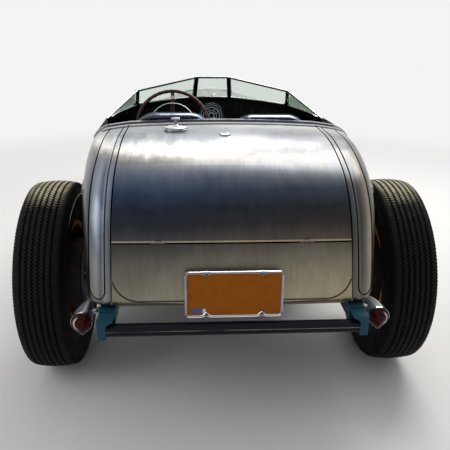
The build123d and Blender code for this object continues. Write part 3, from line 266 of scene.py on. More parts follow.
# Painted reflection on the tail by height, from the floor's glow up to the sky's: metres, colour
TAIL_REFLECTION_TONES = [
    (0.484, (0.215, 0.192, 0.145)), (0.530, (0.205, 0.185, 0.140)), (0.580, (0.155, 0.141, 0.110)),
    (0.640, (0.105, 0.096, 0.082)), (0.682, (0.052, 0.049, 0.045)), (0.702, (0.052, 0.046, 0.044)),
    (0.740, (0.022, 0.021, 0.024)), (0.790, (0.013, 0.016, 0.024)), (0.835, (0.026, 0.037, 0.063)),
    (0.868, (0.066, 0.080, 0.112)), (0.892, (0.118, 0.128, 0.148)), (0.910, (0.160, 0.157, 0.154)),
    (0.924, (0.205, 0.20, 0.19)), (0.939, (0.47, 0.47, 0.46)), (0.950, (0.36, 0.37, 0.38)),
    (0.964, (0.215, 0.24, 0.265)), (1.000, (0.20, 0.225, 0.25)),
]
# What the painted highlight band gains on the left and loses on the right: top height, range across, two
# tints
HIGHLIGHT_BAND_TINTS = [
    (0.952, (-0.34, -0.05), (2.10, 2.07, 2.00), (1.0, 1.0, 1.0)),
    (0.972, (-0.15, 0.20), (1.0, 1.0, 1.0), (0.34, 0.35, 0.38)),
]
# Painted reflection tints, cool towards the left and warm towards the right, above and below the lid's lower
# edge
REFLECTION_TINTS_ABOVE = ((0.90, 0.99, 1.14), (1.18, 1.06, 0.86))
REFLECTION_TINTS_BELOW = ((0.86, 0.87, 0.90), (1.30, 1.26, 1.10))
# The quarters' painted reflections and highlights by distance from the middle: metres, left colour, right
# colour
QUARTER_REFLECTION_TONES = [
    (0.395, (0.16, 0.19, 0.25), (0.045, 0.045, 0.05)), (0.413, (0.34, 0.37, 0.42), (0.10, 0.10, 0.10)),
    (0.424, (0.11, 0.14, 0.20), (0.04, 0.04, 0.045)), (0.440, (0.38, 0.40, 0.43), (0.12, 0.11, 0.095)),
    (0.458, (0.26, 0.28, 0.31), (0.30, 0.27, 0.20)), (0.472, (0.12, 0.125, 0.14), (0.06, 0.055, 0.05)),
    (0.500, (0.30, 0.30, 0.30), (0.30, 0.27, 0.20)), (0.620, (0.34, 0.34, 0.32), (0.30, 0.27, 0.20)),
]
# How much of the left quarter's painted reflection is left at each height, as painted shade low down
QUARTER_SHADE = [
    (0.484, (0.62, 0.57, 0.48)), (0.600, (0.56, 0.53, 0.48)), (0.720, (0.50, 0.51, 0.54)),
    (0.820, (0.74, 0.76, 0.80)), (0.900, (1.0, 1.0, 1.0)),
]
# Stations where the tail's painted reflections begin and are full, and those of the rail's cove
TAIL_FADE = (REAR_AXLE + 0.16, REAR_AXLE - 0.02)
COVE = (REAR_AXLE + 0.181, REAR_AXLE + 0.2225)
# Painted shade in the rail's cove, where it faces up
COVE_SHADE = (0.030, 0.036, 0.055)
# Painted highlight on the lid's lower lip
LEDGE_HEIGHT, LEDGE_HIGHLIGHT = 0.6925, (0.26, 0.205, 0.135)
TINT_REACH = (-0.30, 0.36)
BAND_FOOT = (0.914, 0.928)
# Painted shade in grooves and seams from ambient occlusion: distance, strength
CREVICE_SHADE_DEPTHS = ((0.010, 0.92), (0.030, 0.45))
# Painted sky reflection that darkens the rail's upward faces to navy
RAIL_REFLECTION_TINT = (0.58, 0.64, 0.80)
# Colours of the painted shade in crevices and on faces turned inwards
CREVICE_SHADE, INSIDE_SHADE = (0.010, 0.010, 0.010), (0.006, 0.006, 0.007)


def brushed_steel(name="brushed_steel", cove=None, roughness=(0.26, 0.40), shaded_inside=False):
    """Bare steel, ground up and down, with painted reflections, a painted highlight band and painted shade on
    the tail, and painted shade in its crevices. A cove of stations may get painted shade apart, and faces
    turned inwards painted shade too.
    """
    s = Shader(name, STEEL_GREY, metallic=1.0, roughness=0.32, coat_weight=0.10, coat_roughness=0.10)
    across, along = (s.noise(1.0, 5.0, 0.6, stretch) for stretch in ((260.0, 7.0, 9.0), (9.0, 260.0, 9.0)))
    facing = s.normal()
    grain = s.node("Mix", {0: abs(facing[0]).spread(0.55, 0.85), 2: across, 3: along})
    blotch, smear = s.noise(1.0, 4.0, 0.55, (7.0, 3.0, 4.0)), s.noise(1.0, stretch=(34.0, 5.0, 7.0))
    out, station, height = s.axes(s.place())
    reach = abs(out)
    behind = station.spread(*TAIL_FADE)
    wander = height + (blotch - 0.5) * 0.040 + (smear - 0.5) * 0.020
    # The painted highlight band lies lower and is strongest on the left
    tilted = wander - out.spread(-0.34, 0.30, -0.009, 0.007)
    # Painted reflection on the tail, by height
    tail = tilted.tones(TAIL_REFLECTION_TONES)
    for top, ends, *tints in HIGHLIGHT_BAND_TINTS:
        in_band = tilted.spread(*BAND_FOOT) * tilted.spread(top + 0.016, top)
        tail = s.mix(in_band, tail, s.shade(tail, s.mix(out.spread(*ends), *tints)))
    # Painted reflection tints below the highlight band, apart above and below the lid's lower edge
    below, above = (s.mix(out.spread(*TINT_REACH), *tints) for tints in (REFLECTION_TINTS_BELOW, REFLECTION_TINTS_ABOVE))
    reflection_tint = s.mix(height.spread(0.684, 0.694), below, above)
    tail = s.mix(height.spread(0.915, 0.88), tail, s.shade(tail, reflection_tint))
    # The quarters' painted reflections and highlights, the left one with painted shade by height
    left, right = (reach.tones([(row[0], row[side]) for row in QUARTER_REFLECTION_TONES]) for side in (1, 2))
    quarter = s.mix(out.spread(-0.01, 0.01), s.shade(left, wander.tones(QUARTER_SHADE)), right)
    on_quarter = reach.spread(0.3895, 0.396) * wander.spread(0.93, 0.86, 0.0, 0.80)
    body = s.mix(behind, STEEL_GREY, s.mix(on_quarter, tail, quarter))
    if cove:
        # Painted sky reflection, navy on the rail's upward faces, and painted shade in its cove
        inside = station.spread(cove[0] - 0.002, cove[0]) * station.spread(cove[1], cove[1] - 0.002)
        facing_up = facing[2].spread(0.35, 0.75)
        body = s.mix(facing_up, body, s.shade(body, RAIL_REFLECTION_TINT))
        body = s.mix(inside * facing_up, body, COVE_SHADE)
    else:
        # Painted highlight along the lid's lower lip
        ledge = height.near(LEDGE_HEIGHT, 0.0026) * reach.spread(0.3925, 0.3905)
        body = s.mix(ledge * behind, body, LEDGE_HIGHLIGHT)
    clouds = s.noise(1.0, 5.0, 0.6, (16.0, 9.0, 9.0)).spread(0.3, 0.7, 0.86, 1.14)
    body = s.shade(s.shade(body, grain.spread(0.3, 0.7, 0.90, 1.10)), clouds)
    # Painted shade in grooves and seams, from ambient occlusion
    for distance, strength in CREVICE_SHADE_DEPTHS:
        open_air = s.node("AmbientOcclusion", {"Distance": distance}, "AO", samples=8)
        body = s.mix(open_air.spread(0.80, 0.35, 0.0, strength), body, CREVICE_SHADE)
    # Painted shade, nearly black, on faces turned inwards and towards the rear
    if shaded_inside:
        facing_in = (facing[0] * out).spread(-0.02, -0.08)
        body = s.mix(s.math("MAXIMUM", facing_in, facing[1].spread(-0.25, -0.50)), body, INSIDE_SHADE)
    s.set(base_color=body, roughness=s.noise(7.0, 4.0).spread(0.3, 0.7, *roughness))
    s.bump(grain, 0.03, 0.0005)
    return s.material


def patchy_finish(name, color, patches=None, uneven=None, grain=None, **settings):
    """A finish with patches (noise, range, two colours), uneven roughness (noise scale, range) and a
    grain (noise, strength, distance)."""
    s = Shader(name, color, **settings)
    if patches:
        noise, ends, *colors = patches
        s.set(base_color=s.mix(s.noise(*noise).spread(*ends), *colors))
    if uneven:
        s.set(roughness=s.noise(uneven[0], 4.0).spread(*uneven[1:]))
    if grain:
        noise, *depth = grain
        s.bump(s.noise(*noise), *depth)
    return s.material


def gloss_paint(name, color, dust_and_light=0.10, coat=1.0, shine=0.5):
    """Deep gloss paint with a little dust."""
    patches = ((14.0, 5.0), (0.45, 0.75, 0.0, dust_and_light), color, (0.10, 0.09, 0.08))
    return patchy_finish(
        name, color, patches, (30.0, 0.3, 0.7, 0.18, 0.34), ((240.0, 2.0), 0.04, 0.0003),
        roughness=0.22, coat_weight=coat, coat_roughness=0.05, specular_ior_level=shine)


# Polished plate's painted reflection: a dark horizon under a bright sky, by how far the surface faces up
CHROME_REFLECTION_TONES = [
    (-1.0, (0.09, 0.09, 0.10)), (-0.45, (0.15, 0.15, 0.17)), (-0.14, (0.42, 0.43, 0.46)),
    (0.00, (0.40, 0.41, 0.44)), (0.12, (0.075, 0.08, 0.095)), (0.30, (0.22, 0.24, 0.28)),
    (0.60, (0.66, 0.68, 0.72)), (1.0, (0.86, 0.86, 0.86)),
]
# Sheet aluminium's painted reflection: dark navy, with a painted highlight line where it faces nearly up
SHEET_REFLECTION_TONES = [
    (-1.0, (0.10, 0.10, 0.11)), (-0.2, (0.16, 0.17, 0.20)), (0.3, (0.07, 0.08, 0.11)),
    (0.7, (0.035, 0.042, 0.070)), (0.88, (0.06, 0.07, 0.11)), (0.95, (0.26, 0.29, 0.38)),
    (1.0, (0.09, 0.10, 0.16)),
]
# Tail lamp housings' painted reflection and painted highlight streak, by how far the surface faces right
LAMP_REFLECTION_TONES = [
    (-1.0, (0.10, 0.11, 0.13)), (-0.5, (0.20, 0.23, 0.26)), (0.05, (0.26, 0.28, 0.30)),
    (0.22, (0.80, 0.80, 0.76)), (0.36, (0.70, 0.70, 0.70)), (0.55, (0.05, 0.06, 0.10)),
    (1.0, (0.14, 0.15, 0.17)),
]


def chrome(name="chrome", tones=CHROME_REFLECTION_TONES, roughness=(0.04, 0.16)):
    """Polished plate with a painted reflection by how far it faces up, and faint smudges."""
    s = Shader(name, (0.7, 0.7, 0.7), metallic=1.0, roughness=0.06)
    # Painted reflection by how far the surface faces up
    tone = (s.normal()[2] + s.noise(24.0).spread(0.3, 0.7, -0.04, 0.04)).tones(tones)
    s.set(base_color=tone, roughness=s.noise(18.0, 4.0).spread(0.4, 0.75, *roughness))
    s.bump(s.noise(60.0, 2.0), 0.02, 0.0003)
    return s.material


def glass():
    """Faintly green screen glass, darker in the two wings."""
    clear, smoked = (0.80, 0.88, 0.82), (0.26, 0.36, 0.27)
    s = Shader("glass", clear, roughness=0.01, transmission_weight=1.0, ior=1.45)
    s.set(base_color=s.mix(abs(s.axes(s.place())[0]).spread(0.484, 0.490), clear, smoked))
    s.set(roughness=s.noise(12.0, 4.0).spread(0.45, 0.8, 0.005, 0.05))
    return s.material


def red_lens():
    """Nearly black red lens with fine rings and a painted highlight, a pale curve on its outer side."""
    s = Shader("red_lens", (0.06, 0.001, 0.003), roughness=0.12, specular_ior_level=0.10)
    out, _, height = s.axes(s.place())
    aside = abs(out) - LAMP_X / 1000
    reach = s.length(aside, height - LAMP_Z / 1000)
    # Painted highlight, a pale curve on the lamp's outer side
    highlight_crescent = reach.spread(0.0195, 0.0215) * reach.spread(0.0265, 0.0245) * aside.spread(0.008, 0.018)
    deep = s.mix(s.noise(70.0, stretch=(1.0, 0.4, 1.6)), (0.002, 0.0003, 0.0006), (0.060, 0.0008, 0.0030))
    s.set(base_color=s.mix(highlight_crescent, deep, (0.52, 0.42, 0.47)))
    s.bump(s.noise(420.0, 1.0, stretch=(1.0, 0.2, 1.0)), 0.15, 0.0006)
    return s.material


def lamp_silver():
    """Tail lamp housings: satin silver with a painted reflection and a painted highlight streak, on black
    arms.
    """
    s = Shader("lamp_silver", (0.3, 0.3, 0.3), metallic=0.35, roughness=0.36)
    brushed = s.noise(1.0, stretch=(300.0, 12.0, 300.0)).spread(0.3, 0.7, 0.75, 1.25)
    # Painted reflection and highlight streak, by how far the surface faces right
    tone = s.shade(s.normal()[0].tones(LAMP_REFLECTION_TONES), brushed)
    on_arm = abs(s.axes(s.place())[0]).spread(0.459, 0.456)
    s.set(base_color=s.mix(on_arm, tone, (0.006, 0.007, 0.008)))
    return s.material


def rubber():
    """Tyre rubber: black, with dust and painted top light on the rib tops, and a painted cream highlight on
    the left tyres' sidewall ring near its top, where the mesh marks them.
    """
    s = Shader("rubber", (0.003, 0.003, 0.004), roughness=0.7, specular_ior_level=0.10)
    mark = s.node("Attribute", output="Fac", attribute_name="wear_and_light")
    facing, (out, _, height) = s.normal(), s.axes(s.place())
    dust_and_light_mottle = s.noise(26.0, 6.0, 0.6).spread(0.3, 0.75, 0.45, 1.0)
    # Dust with painted top light: khaki on the rib tops where they face up, patchy like dust
    dust_and_light = mark.spread(0.0, 1.0) * (facing[2].spread(0.885, 0.975) + 0.006) * dust_and_light_mottle
    color = s.mix(dust_and_light, (0.0035, 0.0038, 0.0045), (0.52, 0.48, 0.32))
    # Painted cream highlight on the left tyres' inner sidewall ring, near its top
    inner_left = facing[0].spread(0.1, 0.4) * out.spread(-0.1, -0.2)
    ring = mark.spread(1.0, 2.0) * height.spread(0.650, 0.675) * inner_left
    s.set(base_color=s.mix(ring, color, (0.80, 0.73, 0.50)))
    s.set(roughness=s.noise(40.0, 4.0).spread(0.3, 0.7, 0.55, 0.85))
    s.bump(s.noise(300.0), 0.2, 0.0005)
    return s.material


def wheel_paint():
    """Amber gloss outside; inboard, painted shade turns the dish nearly black, with painted highlights of
    brighter amber on its rim's edge at top and bottom.
    """
    amber, inboard_shade, amber_highlight = (0.60, 0.20, 0.010), (0.006, 0.005, 0.005), (0.92, 0.40, 0.03)
    s = Shader("wheel_paint", amber, coat_roughness=0.06)
    out, station, height = s.axes(s.place())
    # Painted shade inboard: the dish nearly black where it lies in shadow
    inboard = abs(out).spread(0.676, 0.664)
    dust_and_light_mottle = s.noise(20.0, 5.0).spread(0.30, 0.5, 0.90, 1.0)
    halfway = (REAR_AXLE + FRONT_AXLE) / 2
    along = abs(station - halfway) - (FRONT_AXLE - REAR_AXLE) / 2
    rise = height - station.spread(halfway, halfway + 0.01, REAR_RADIUS, FRONT_RADIUS)
    # Painted highlights of brighter amber on the rim's edge, at top and bottom
    patches = s.math("MAXIMUM", rise.spread(0.140, 0.152), rise.spread(-0.004, -0.012))
    lip_highlight = s.length(along, rise).spread(0.1965, 0.1995) * patches
    wear_and_light = s.noise(34.0, 5.0, 0.65).spread(0.38, 0.55, 0.45, 1.0)
    inboard_light_and_shade = s.mix(lip_highlight * wear_and_light, s.mix(dust_and_light_mottle, amber, inboard_shade), amber_highlight)
    s.set(base_color=s.mix(inboard, amber, inboard_light_and_shade), coat_weight=inboard.spread(0.0, 1.0, 0.5, 0.0))
    s.set(roughness=inboard.spread(0.0, 1.0, 0.22, 0.75))
    s.bump(s.noise(240.0, 2.0), 0.04, 0.0003)
    return s.material


def spreader_paint():
    """The frame's blue on the brackets; on the bar between them painted shade, nearly black, with a painted
    thin warm highlight.
    """
    blue, dark = (0.008, 0.052, 0.078), (0.0028, 0.0040, 0.0075)
    s = Shader("spreader_paint", blue, roughness=0.34, specular_ior_level=0.12)
    out, _, height = s.axes(s.place())
    # Painted shade: the bar nearly black, the brackets in the frame's blue
    bar = abs(out).spread(0.4055, 0.4035) * height.spread(0.4595, 0.4575)
    patchy = s.noise(1.0, stretch=(9.0, 1.0, 1.0)).spread(0.35, 0.55, 0.15, 1.0)
    # Painted highlight, a thin warm line low on the bar
    dark = s.mix(height.near(0.4365, 0.0013) * patchy, dark, (0.16, 0.13, 0.09))
    wear_and_light = s.mix(s.noise(30.0, 5.0).spread(0.5, 0.8, 0.0, 0.35), blue, (0.035, 0.10, 0.13))
    s.set(base_color=s.mix(bar, wear_and_light, dark))
    s.bump(s.noise(200.0, 2.0), 0.05, 0.0003)
    return s.material


def leather():
    """Black leather with fine cells."""
    s = Shader("black_leather", (0.018, 0.017, 0.017), sheen_weight=0.2)
    feeds = {"Scale": 260.0, "Vector": s.place()}
    cells = s.node("TexVoronoi", feeds, "Distance", feature="DISTANCE_TO_EDGE")
    s.set(roughness=s.noise(12.0, 4.0).spread(0.3, 0.7, 0.34, 0.52))
    s.bump(cells.spread(0.0, 0.12), 0.35, 0.0006)
    return s.material


SATIN_BLACK = (0.022, 0.022, 0.024)
PLATE_ORANGE = (0.27, 0.076, 0.002)
FINISH = {
    "body_steel": brushed_steel(),
    "frame_paint": gloss_paint("frame_paint", (0.008, 0.050, 0.075), coat=0.2, shine=0.2),
    "chassis_black": patchy_finish(
        "satin_black", SATIN_BLACK, ((9.0, 5.0), (0.4, 0.75, 0.0, 0.35), SATIN_BLACK, (0.075, 0.066, 0.055)),
        (22.0, 0.3, 0.7, 0.38, 0.6), ((160.0,), 0.12, 0.0005)),
    "chrome": chrome(),
    "screen_frame": gloss_paint("screen_frame", (0.006, 0.006, 0.006), coat=0.3, shine=0.3),
    "glass": glass(),
    "red_lens": red_lens(),
    "wheel_paint": wheel_paint(),
    "tyre": rubber(),
    "black_leather": leather(),
    "bare_aluminium": chrome("bare_aluminium", SHEET_REFLECTION_TONES, (0.14, 0.32)),
    "dash_black": gloss_paint("dash_black", (0.005, 0.005, 0.005), dust_and_light=0.03, coat=0.0, shine=0.12),
    "steering_plastic": gloss_paint(
        "steering_plastic", (0.030, 0.003, 0.003), dust_and_light=0.02, coat=0.25, shine=0.2),
    "plate_orange": patchy_finish(
        "plate_orange", PLATE_ORANGE,
        ((40.0, 6.0, 0.65), (0.5, 0.8, 0.0, 0.55), PLATE_ORANGE, (0.16, 0.042, 0.002)),
        grain=((90.0,), 0.05, 0.0004), roughness=0.45, specular_ior_level=0.10),
    "engine_iron": patchy_finish(
        "engine_iron", (0.10, 0.11, 0.12), ((12.0, 5.0), (0.0, 1.0), (0.05, 0.055, 0.06), (0.13, 0.13, 0.13)),
        grain=((220.0,), 0.4, 0.0008), metallic=0.2),
    "exhaust_steel": patchy_finish(
        "exhaust_steel", (0.36, 0.33, 0.30), ((5.0, 5.0), (0.0, 1.0), (0.20, 0.17, 0.15), (0.42, 0.39, 0.36)),
        (24.0, 0.3, 0.7, 0.3, 0.6), ((180.0,), 0.15, 0.0004), metallic=1.0),
}
# Small finishes of the scene's own, each with the slot that it belongs to
OWN_FINISH = {
    "sticker_blue": ("plate_orange", gloss_paint("sticker_blue", (0.012, 0.045, 0.16), dust_and_light=0.3, coat=0.2)),
    "strip_alloy": ("bare_aluminium", patchy_finish(
        "strip_alloy", (0.45, 0.46, 0.45),
        ((420.0, 3.0, 0.7), (0.42, 0.58), (0.10, 0.10, 0.10), (0.72, 0.73, 0.72)),
        grain=((420.0, 3.0, 0.7), 0.6, 0.0012), metallic=0.6)),
    "dial_print": ("dash_black", gloss_paint("dial_print", (0.50, 0.57, 0.66), dust_and_light=0.2, coat=0.2)),
    "cream_line": ("wheel_paint", gloss_paint("cream_line", (0.62, 0.52, 0.33), dust_and_light=0.2, coat=0.3)),
}
# Nodes whose finish differs from their slot's in one place
SPECIAL = {
    "deck_rail": brushed_steel("rail_steel", COVE, (0.12, 0.24)),
    "rear_spreader_bar": spreader_paint(),
    # The cowl with painted shade on faces turned inwards and towards the rear
    "cowl": brushed_steel("cowl_steel", shaded_inside=True),
    "tail_lamps": lamp_silver(),
}
for part in frame["record"]["subparts"]:
    materials = frame["nodes"][part["node"]].data.materials
    materials.clear()
    materials.append(SPECIAL.get(part["node"], FINISH[part["material_slot"]]))


# Outlines and shapes

def between(start, end, runs):
    """The points that divide a run."""
    return [tuple(a + (b - a) * k / runs for a, b in zip(start, end)) for k in range(1, runs)]


def rounded_rect(width, height, corner, steps=6, runs=1):
    """An outline with round corners, anticlockwise, its sides divided into runs."""
    outline = []
    for i, (sx, sy) in enumerate(((1, 1), (-1, 1), (-1, -1), (1, -1))):
        cx, cy = sx * (width / 2 - corner), sy * (height / 2 - corner)
        turns = [pi / 2 * (i + k / steps) for k in range(steps + 1)]
        arc = [(cx + corner * cos(a), cy + corner * sin(a)) for a in turns]
        if outline:
            outline += between(outline[-1], arc[0], runs)
        outline += arc
    return outline + between(outline[-1], outline[0], runs)


def inset(outline, distances):
    """A closed anticlockwise outline moved inwards, by one distance or one for each point."""
    if not isinstance(distances, list):
        distances = [distances] * len(outline)
    moved = []
    for i, here in enumerate(outline):
        before, after = outline[i - 1], outline[(i + 1) % len(outline)]
        a = (Vector(here) - Vector(before)).normalized()
        b = (Vector(after) - Vector(here)).normalized()
        first = Vector((-a.y, a.x))
        normal = (first + Vector((-b.y, b.x))).normalized()
        step = distances[i] / max(0.4, normal.dot(first))
        moved.append((here[0] + normal.x * step, here[1] + normal.y * step))
    return moved


def finish_piece(data, name, slot, body, sharp=40.0, replaces=()):
    """A mesh as a piece: outward faces, smooth but for its edges, riding on a body."""
    work = bmesh.new()
    work.from_mesh(data)
    bmesh.ops.recalc_face_normals(work, faces=work.faces)
    work.to_mesh(data)
    work.free()
    data.polygons.foreach_set("use_smooth", [True] * len(data.polygons))
    if sharp:
        data.set_sharp_from_angle(angle=radians(sharp))
    piece = place_object(name, data)
    slot, material = OWN_FINISH.get(slot) or (slot, FINISH[slot])
    data.materials.append(material)
    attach(piece, body)
    if replaces:
        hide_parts(*replaces)
    return piece


class Shape:
    """Points and faces that grow into one piece. Sizes are in metres."""

    def __init__(self):
        self.points = []
        self.faces = []

    def ring(self, points):
        base = len(self.points)
        self.points += [Vector(p) for p in points]
        return list(range(base, base + len(points)))

    def bridge(self, low, high, cyclic=True):
        """Faces between two rings. One of them may be a single point."""
        count = max(len(low), len(high))
        for i in range(count if cyclic else count - 1):
            j = (i + 1) % count
            if len(low) == 1:
                self.faces.append((low[0], high[j], high[i]))
            elif len(high) == 1:
                self.faces.append((low[i], low[j], high[0]))
            else:
                self.faces.append((low[i], low[j], high[j], high[i]))

    def join(self, rings, cyclic=True, closed=False):
        """Faces between each ring and the next, and from the last back to the first if closed."""
        for low, high in zip(rings, rings[1:] + rings[:1] * closed):
            self.bridge(low, high, cyclic)

    def cap(self, rings):
        """Faces that fill the first and the last ring."""
        self.faces += [tuple(reversed(rings[0])), tuple(rings[-1])]

    def turn(self, profile, centre, axis, steps=32, closed=False):
        """Turns a profile about an axis. Its points are (distance along the axis, radius)."""
        axis = Vector(axis).normalized()
        side = axis.orthogonal().normalized()
        up = axis.cross(side)
        rings = []
        for along, radius in profile:
            here = Vector(centre) + axis * along
            on_axis = radius < 1e-6
            around = [here] if on_axis else [here + spin(a, side, up) * radius for a in circle(steps)]
            rings.append(self.ring(around))
        self.join(rings, closed=closed)

    def tube(self, path, radius, sides=10, closed=False, flat=1.0, lift=None):
        """A bar along a path, round or flattened, with domed ends. radius is one number or one a point."""
        radii = radius if isinstance(radius, list) else [radius] * len(path)
        if not closed:
            first, last = (path[0] - path[1]).normalized(), (path[-1] - path[-2]).normalized()
            path = [path[0] + first * radii[0] * 0.5] + path + [path[-1] + last * radii[-1] * 0.5]
            radii = [radii[0] * 0.72] + radii + [radii[-1] * 0.72]
        count = len(path)
        side, rings = None, []
        for i, here in enumerate(path):
            before = path[i - 1] if i or closed else here
            after = path[(i + 1) % count] if i < count - 1 or closed else here
            along = (after - before).normalized()
            if side is None:
                side = lift or along.orthogonal()
            side = (side - along * side.dot(along)).normalized()
            up = along.cross(side)
            rings.append(self.ring(
                [here + (side * cos(a) * flat + up * sin(a)) * radii[i] for a in circle(sides)]))
        self.join(rings, closed=closed)
        if not closed:
            self.bridge(self.ring([path[0]]), rings[0])
            self.bridge(rings[-1], self.ring([path[-1]]))

    def slab(self, outline, plane, low, high, chamfer=0.0):
        """An outline in a plane (origin, x, y), thick from low to high along its normal."""
        layers = [(low, outline), (high, outline)]
        if chamfer:
            small = inset(outline, chamfer)
            layers = [(low, small), (low + chamfer, outline), (high - chamfer, outline), (high, small)]
        rings = [self.ring([on(plane, u, v, w) for u, v in line]) for w, line in layers]
        self.join(rings)
        self.cap(rings)

    def band(self, outer, inner, plane, section):
        """A frame between two outlines. Its section's points are (share of the way inwards, height)."""
        self.join([
            self.ring([on(plane, a[0] + (b[0] - a[0]) * share, a[1] + (b[1] - a[1]) * share, height)
                       for a, b in zip(outer, inner)])
            for share, height in section
        ], closed=True)

    def bolt(self, place, axis, radius):
        """A hexagonal head on a washer, facing along its axis."""
        washer = [(-0.001, 0), (-0.001, radius * 1.5), (radius * 0.2, radius * 1.5), (radius * 0.25, 0)]
        self.turn(washer, place, axis, 20)
        height = radius * 0.9
        self.turn([(0, radius), (height * 0.8, radius), (height, radius * 0.85), (height, 0)], place, axis, 6)

    def mesh(self, name):
        data = bpy.data.meshes.new(name)
        data.from_pydata([tuple(p) for p in self.points], [], self.faces)
        data.validate()
        return data

    def piece(self, name, slot, body="chassis", sharp=40.0, replaces=()):
        return finish_piece(self.mesh(name), name, slot, body, sharp, replaces)


# Tyres: ribs with zigzag grooves, shoulder lugs and a ring on each sidewall

ZIGZAGS, STEPS_PER_ZIGZAG, ZIGZAG_REACH = 172, 4, 0.0074
RIB_COUNT, SHOULDER, CROWN_DROP = 7, 0.020, 0.008
GROOVE_DEPTH, GROOVE_WIDTH, GROOVE_LIP = 0.009, 0.0072, 0.001
LUG_DEPTH = 0.0050
BEAD_RADIUS = 0.2033


def tyre_mesh(name, node, body):
    """One tyre about its own axle, the size of its solid."""
    low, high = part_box(node)
    centre = (low + high) / 2
    radius = (high.z - low.z) / 2
    half = (high.x - low.x) / 2 - 0.0015
    tread = half - SHOULDER
    steps = ZIGZAGS * STEPS_PER_ZIGZAG

    def crown(x):
        return radius - CROWN_DROP * (x / tread) ** 2

    # The section's points: x, radius, how far the zigzag moves it, share of a shoulder lug
    treads = []
    pitch = 2 * tread / RIB_COUNT
    wide, floor = GROOVE_WIDTH / 2, GROOVE_WIDTH * 0.32
    groove = ((-wide - GROOVE_LIP, 0.0), (-wide, GROOVE_LIP), (-floor, GROOVE_DEPTH),
              (floor, GROOVE_DEPTH), (wide, GROOVE_LIP), (wide + GROOVE_LIP, 0.0))
    for i in range(RIB_COUNT + 1):
        x = -tread + i * pitch
        if i in (0, RIB_COUNT):
            treads.append((x, crown(x), 0.0, 0.0))
            continue
        treads += [(x + dx, crown(x + dx) - depth, 1.0, 0.0) for dx, depth in groove]
        if i < RIB_COUNT - 1:
            treads.append((x + pitch / 2, crown(x + pitch / 2), 0.0, 0.0))
    wall_top = crown(tread) - 0.004
    ring = BEAD_RADIUS + 0.70 * (radius - BEAD_RADIUS)
    wall = [
        (tread + 0.006, wall_top, 0.5), (tread + 0.011, wall_top - 0.010, 1.0),
        (tread + 0.0135, wall_top - 0.022, 0.4), (half - 0.004, ring + 0.014, 0.0),
        (half - 0.003, ring + 0.003, 0.0), (half - 0.0005, ring + 0.0015, 0.0),
        (half - 0.0005, ring - 0.0015, 0.0), (half - 0.002, ring - 0.003, 0.0),
        (half, (radius + BEAD_RADIUS) / 2 - 0.006, 0.0), (half - 0.006, BEAD_RADIUS + 0.058, 0.0),
        (half - 0.017, BEAD_RADIUS + 0.034, 0.0), (half - 0.028, BEAD_RADIUS + 0.019, 0.0),
        (half - 0.034, BEAD_RADIUS + 0.012, 0.0), (half - 0.038, BEAD_RADIUS + 0.001, 0.0),
    ]
    section = [(-x, r, 0.0, lug) for x, r, lug in reversed(wall)] + treads
    section += [(x, r, 0.0, lug) for x, r, lug in wall]
    # Marks for the rubber's dust and painted light: 1 on top of the ribs, 2 on the sidewalls' rings, where a
    # painted highlight goes
    marks = [2.0 if abs(r - ring) < 0.0020 else 1.0 if abs(x) <= tread and r > crown(x) - 0.0005 else 0.0
             for x, r, _, _ in section]
    shape, rings = Shape(), []
    for k, angle in enumerate(circle(steps)):
        phase = (k % STEPS_PER_ZIGZAG) / STEPS_PER_ZIGZAG
        swing = ZIGZAG_REACH * (1.0 - 4.0 * abs(phase - 0.5)) / 2
        notch = LUG_DEPTH if phase < 0.5 else 0.0
        placed = [(x + zigzag * swing, r - notch * lug) for x, r, zigzag, lug in section]
        rings.append(shape.ring([
            (centre.x + x, centre.y + r * cos(angle), centre.z + r * sin(angle)) for x, r in placed]))
    shape.join(rings, closed=True)
    piece = shape.piece(name, "tyre", body)
    wear_and_light = piece.data.attributes.new("wear_and_light", "FLOAT", "POINT")
    wear_and_light.data.foreach_set("value", marks * steps)
    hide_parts(node)


for place in ("front_left", "front_right", "rear_left", "rear_right"):
    tyre_mesh(f"ribbed_tyre_{place}", f"tyre_{place}", place)


# Licence plate: a rounded frame that swells round its four bolts, a raised edge and a blank sticker

PLATE = at(0, -557, 545)
PLATE_PLANE = (PLATE, RIGHT, UP)
PLATE_BOLTS = [(x, z) for x in (-0.089, 0.089) for z in (-0.069, 0.069)]


def swelling(u, v, x, z):
    """How far the frame swells inwards at (u, v) for the bolt at (x, z)."""
    return 0.012 * exp(-((u - x) / 0.0085) ** 2) * (abs(v) > 0.05 and v * z > 0)


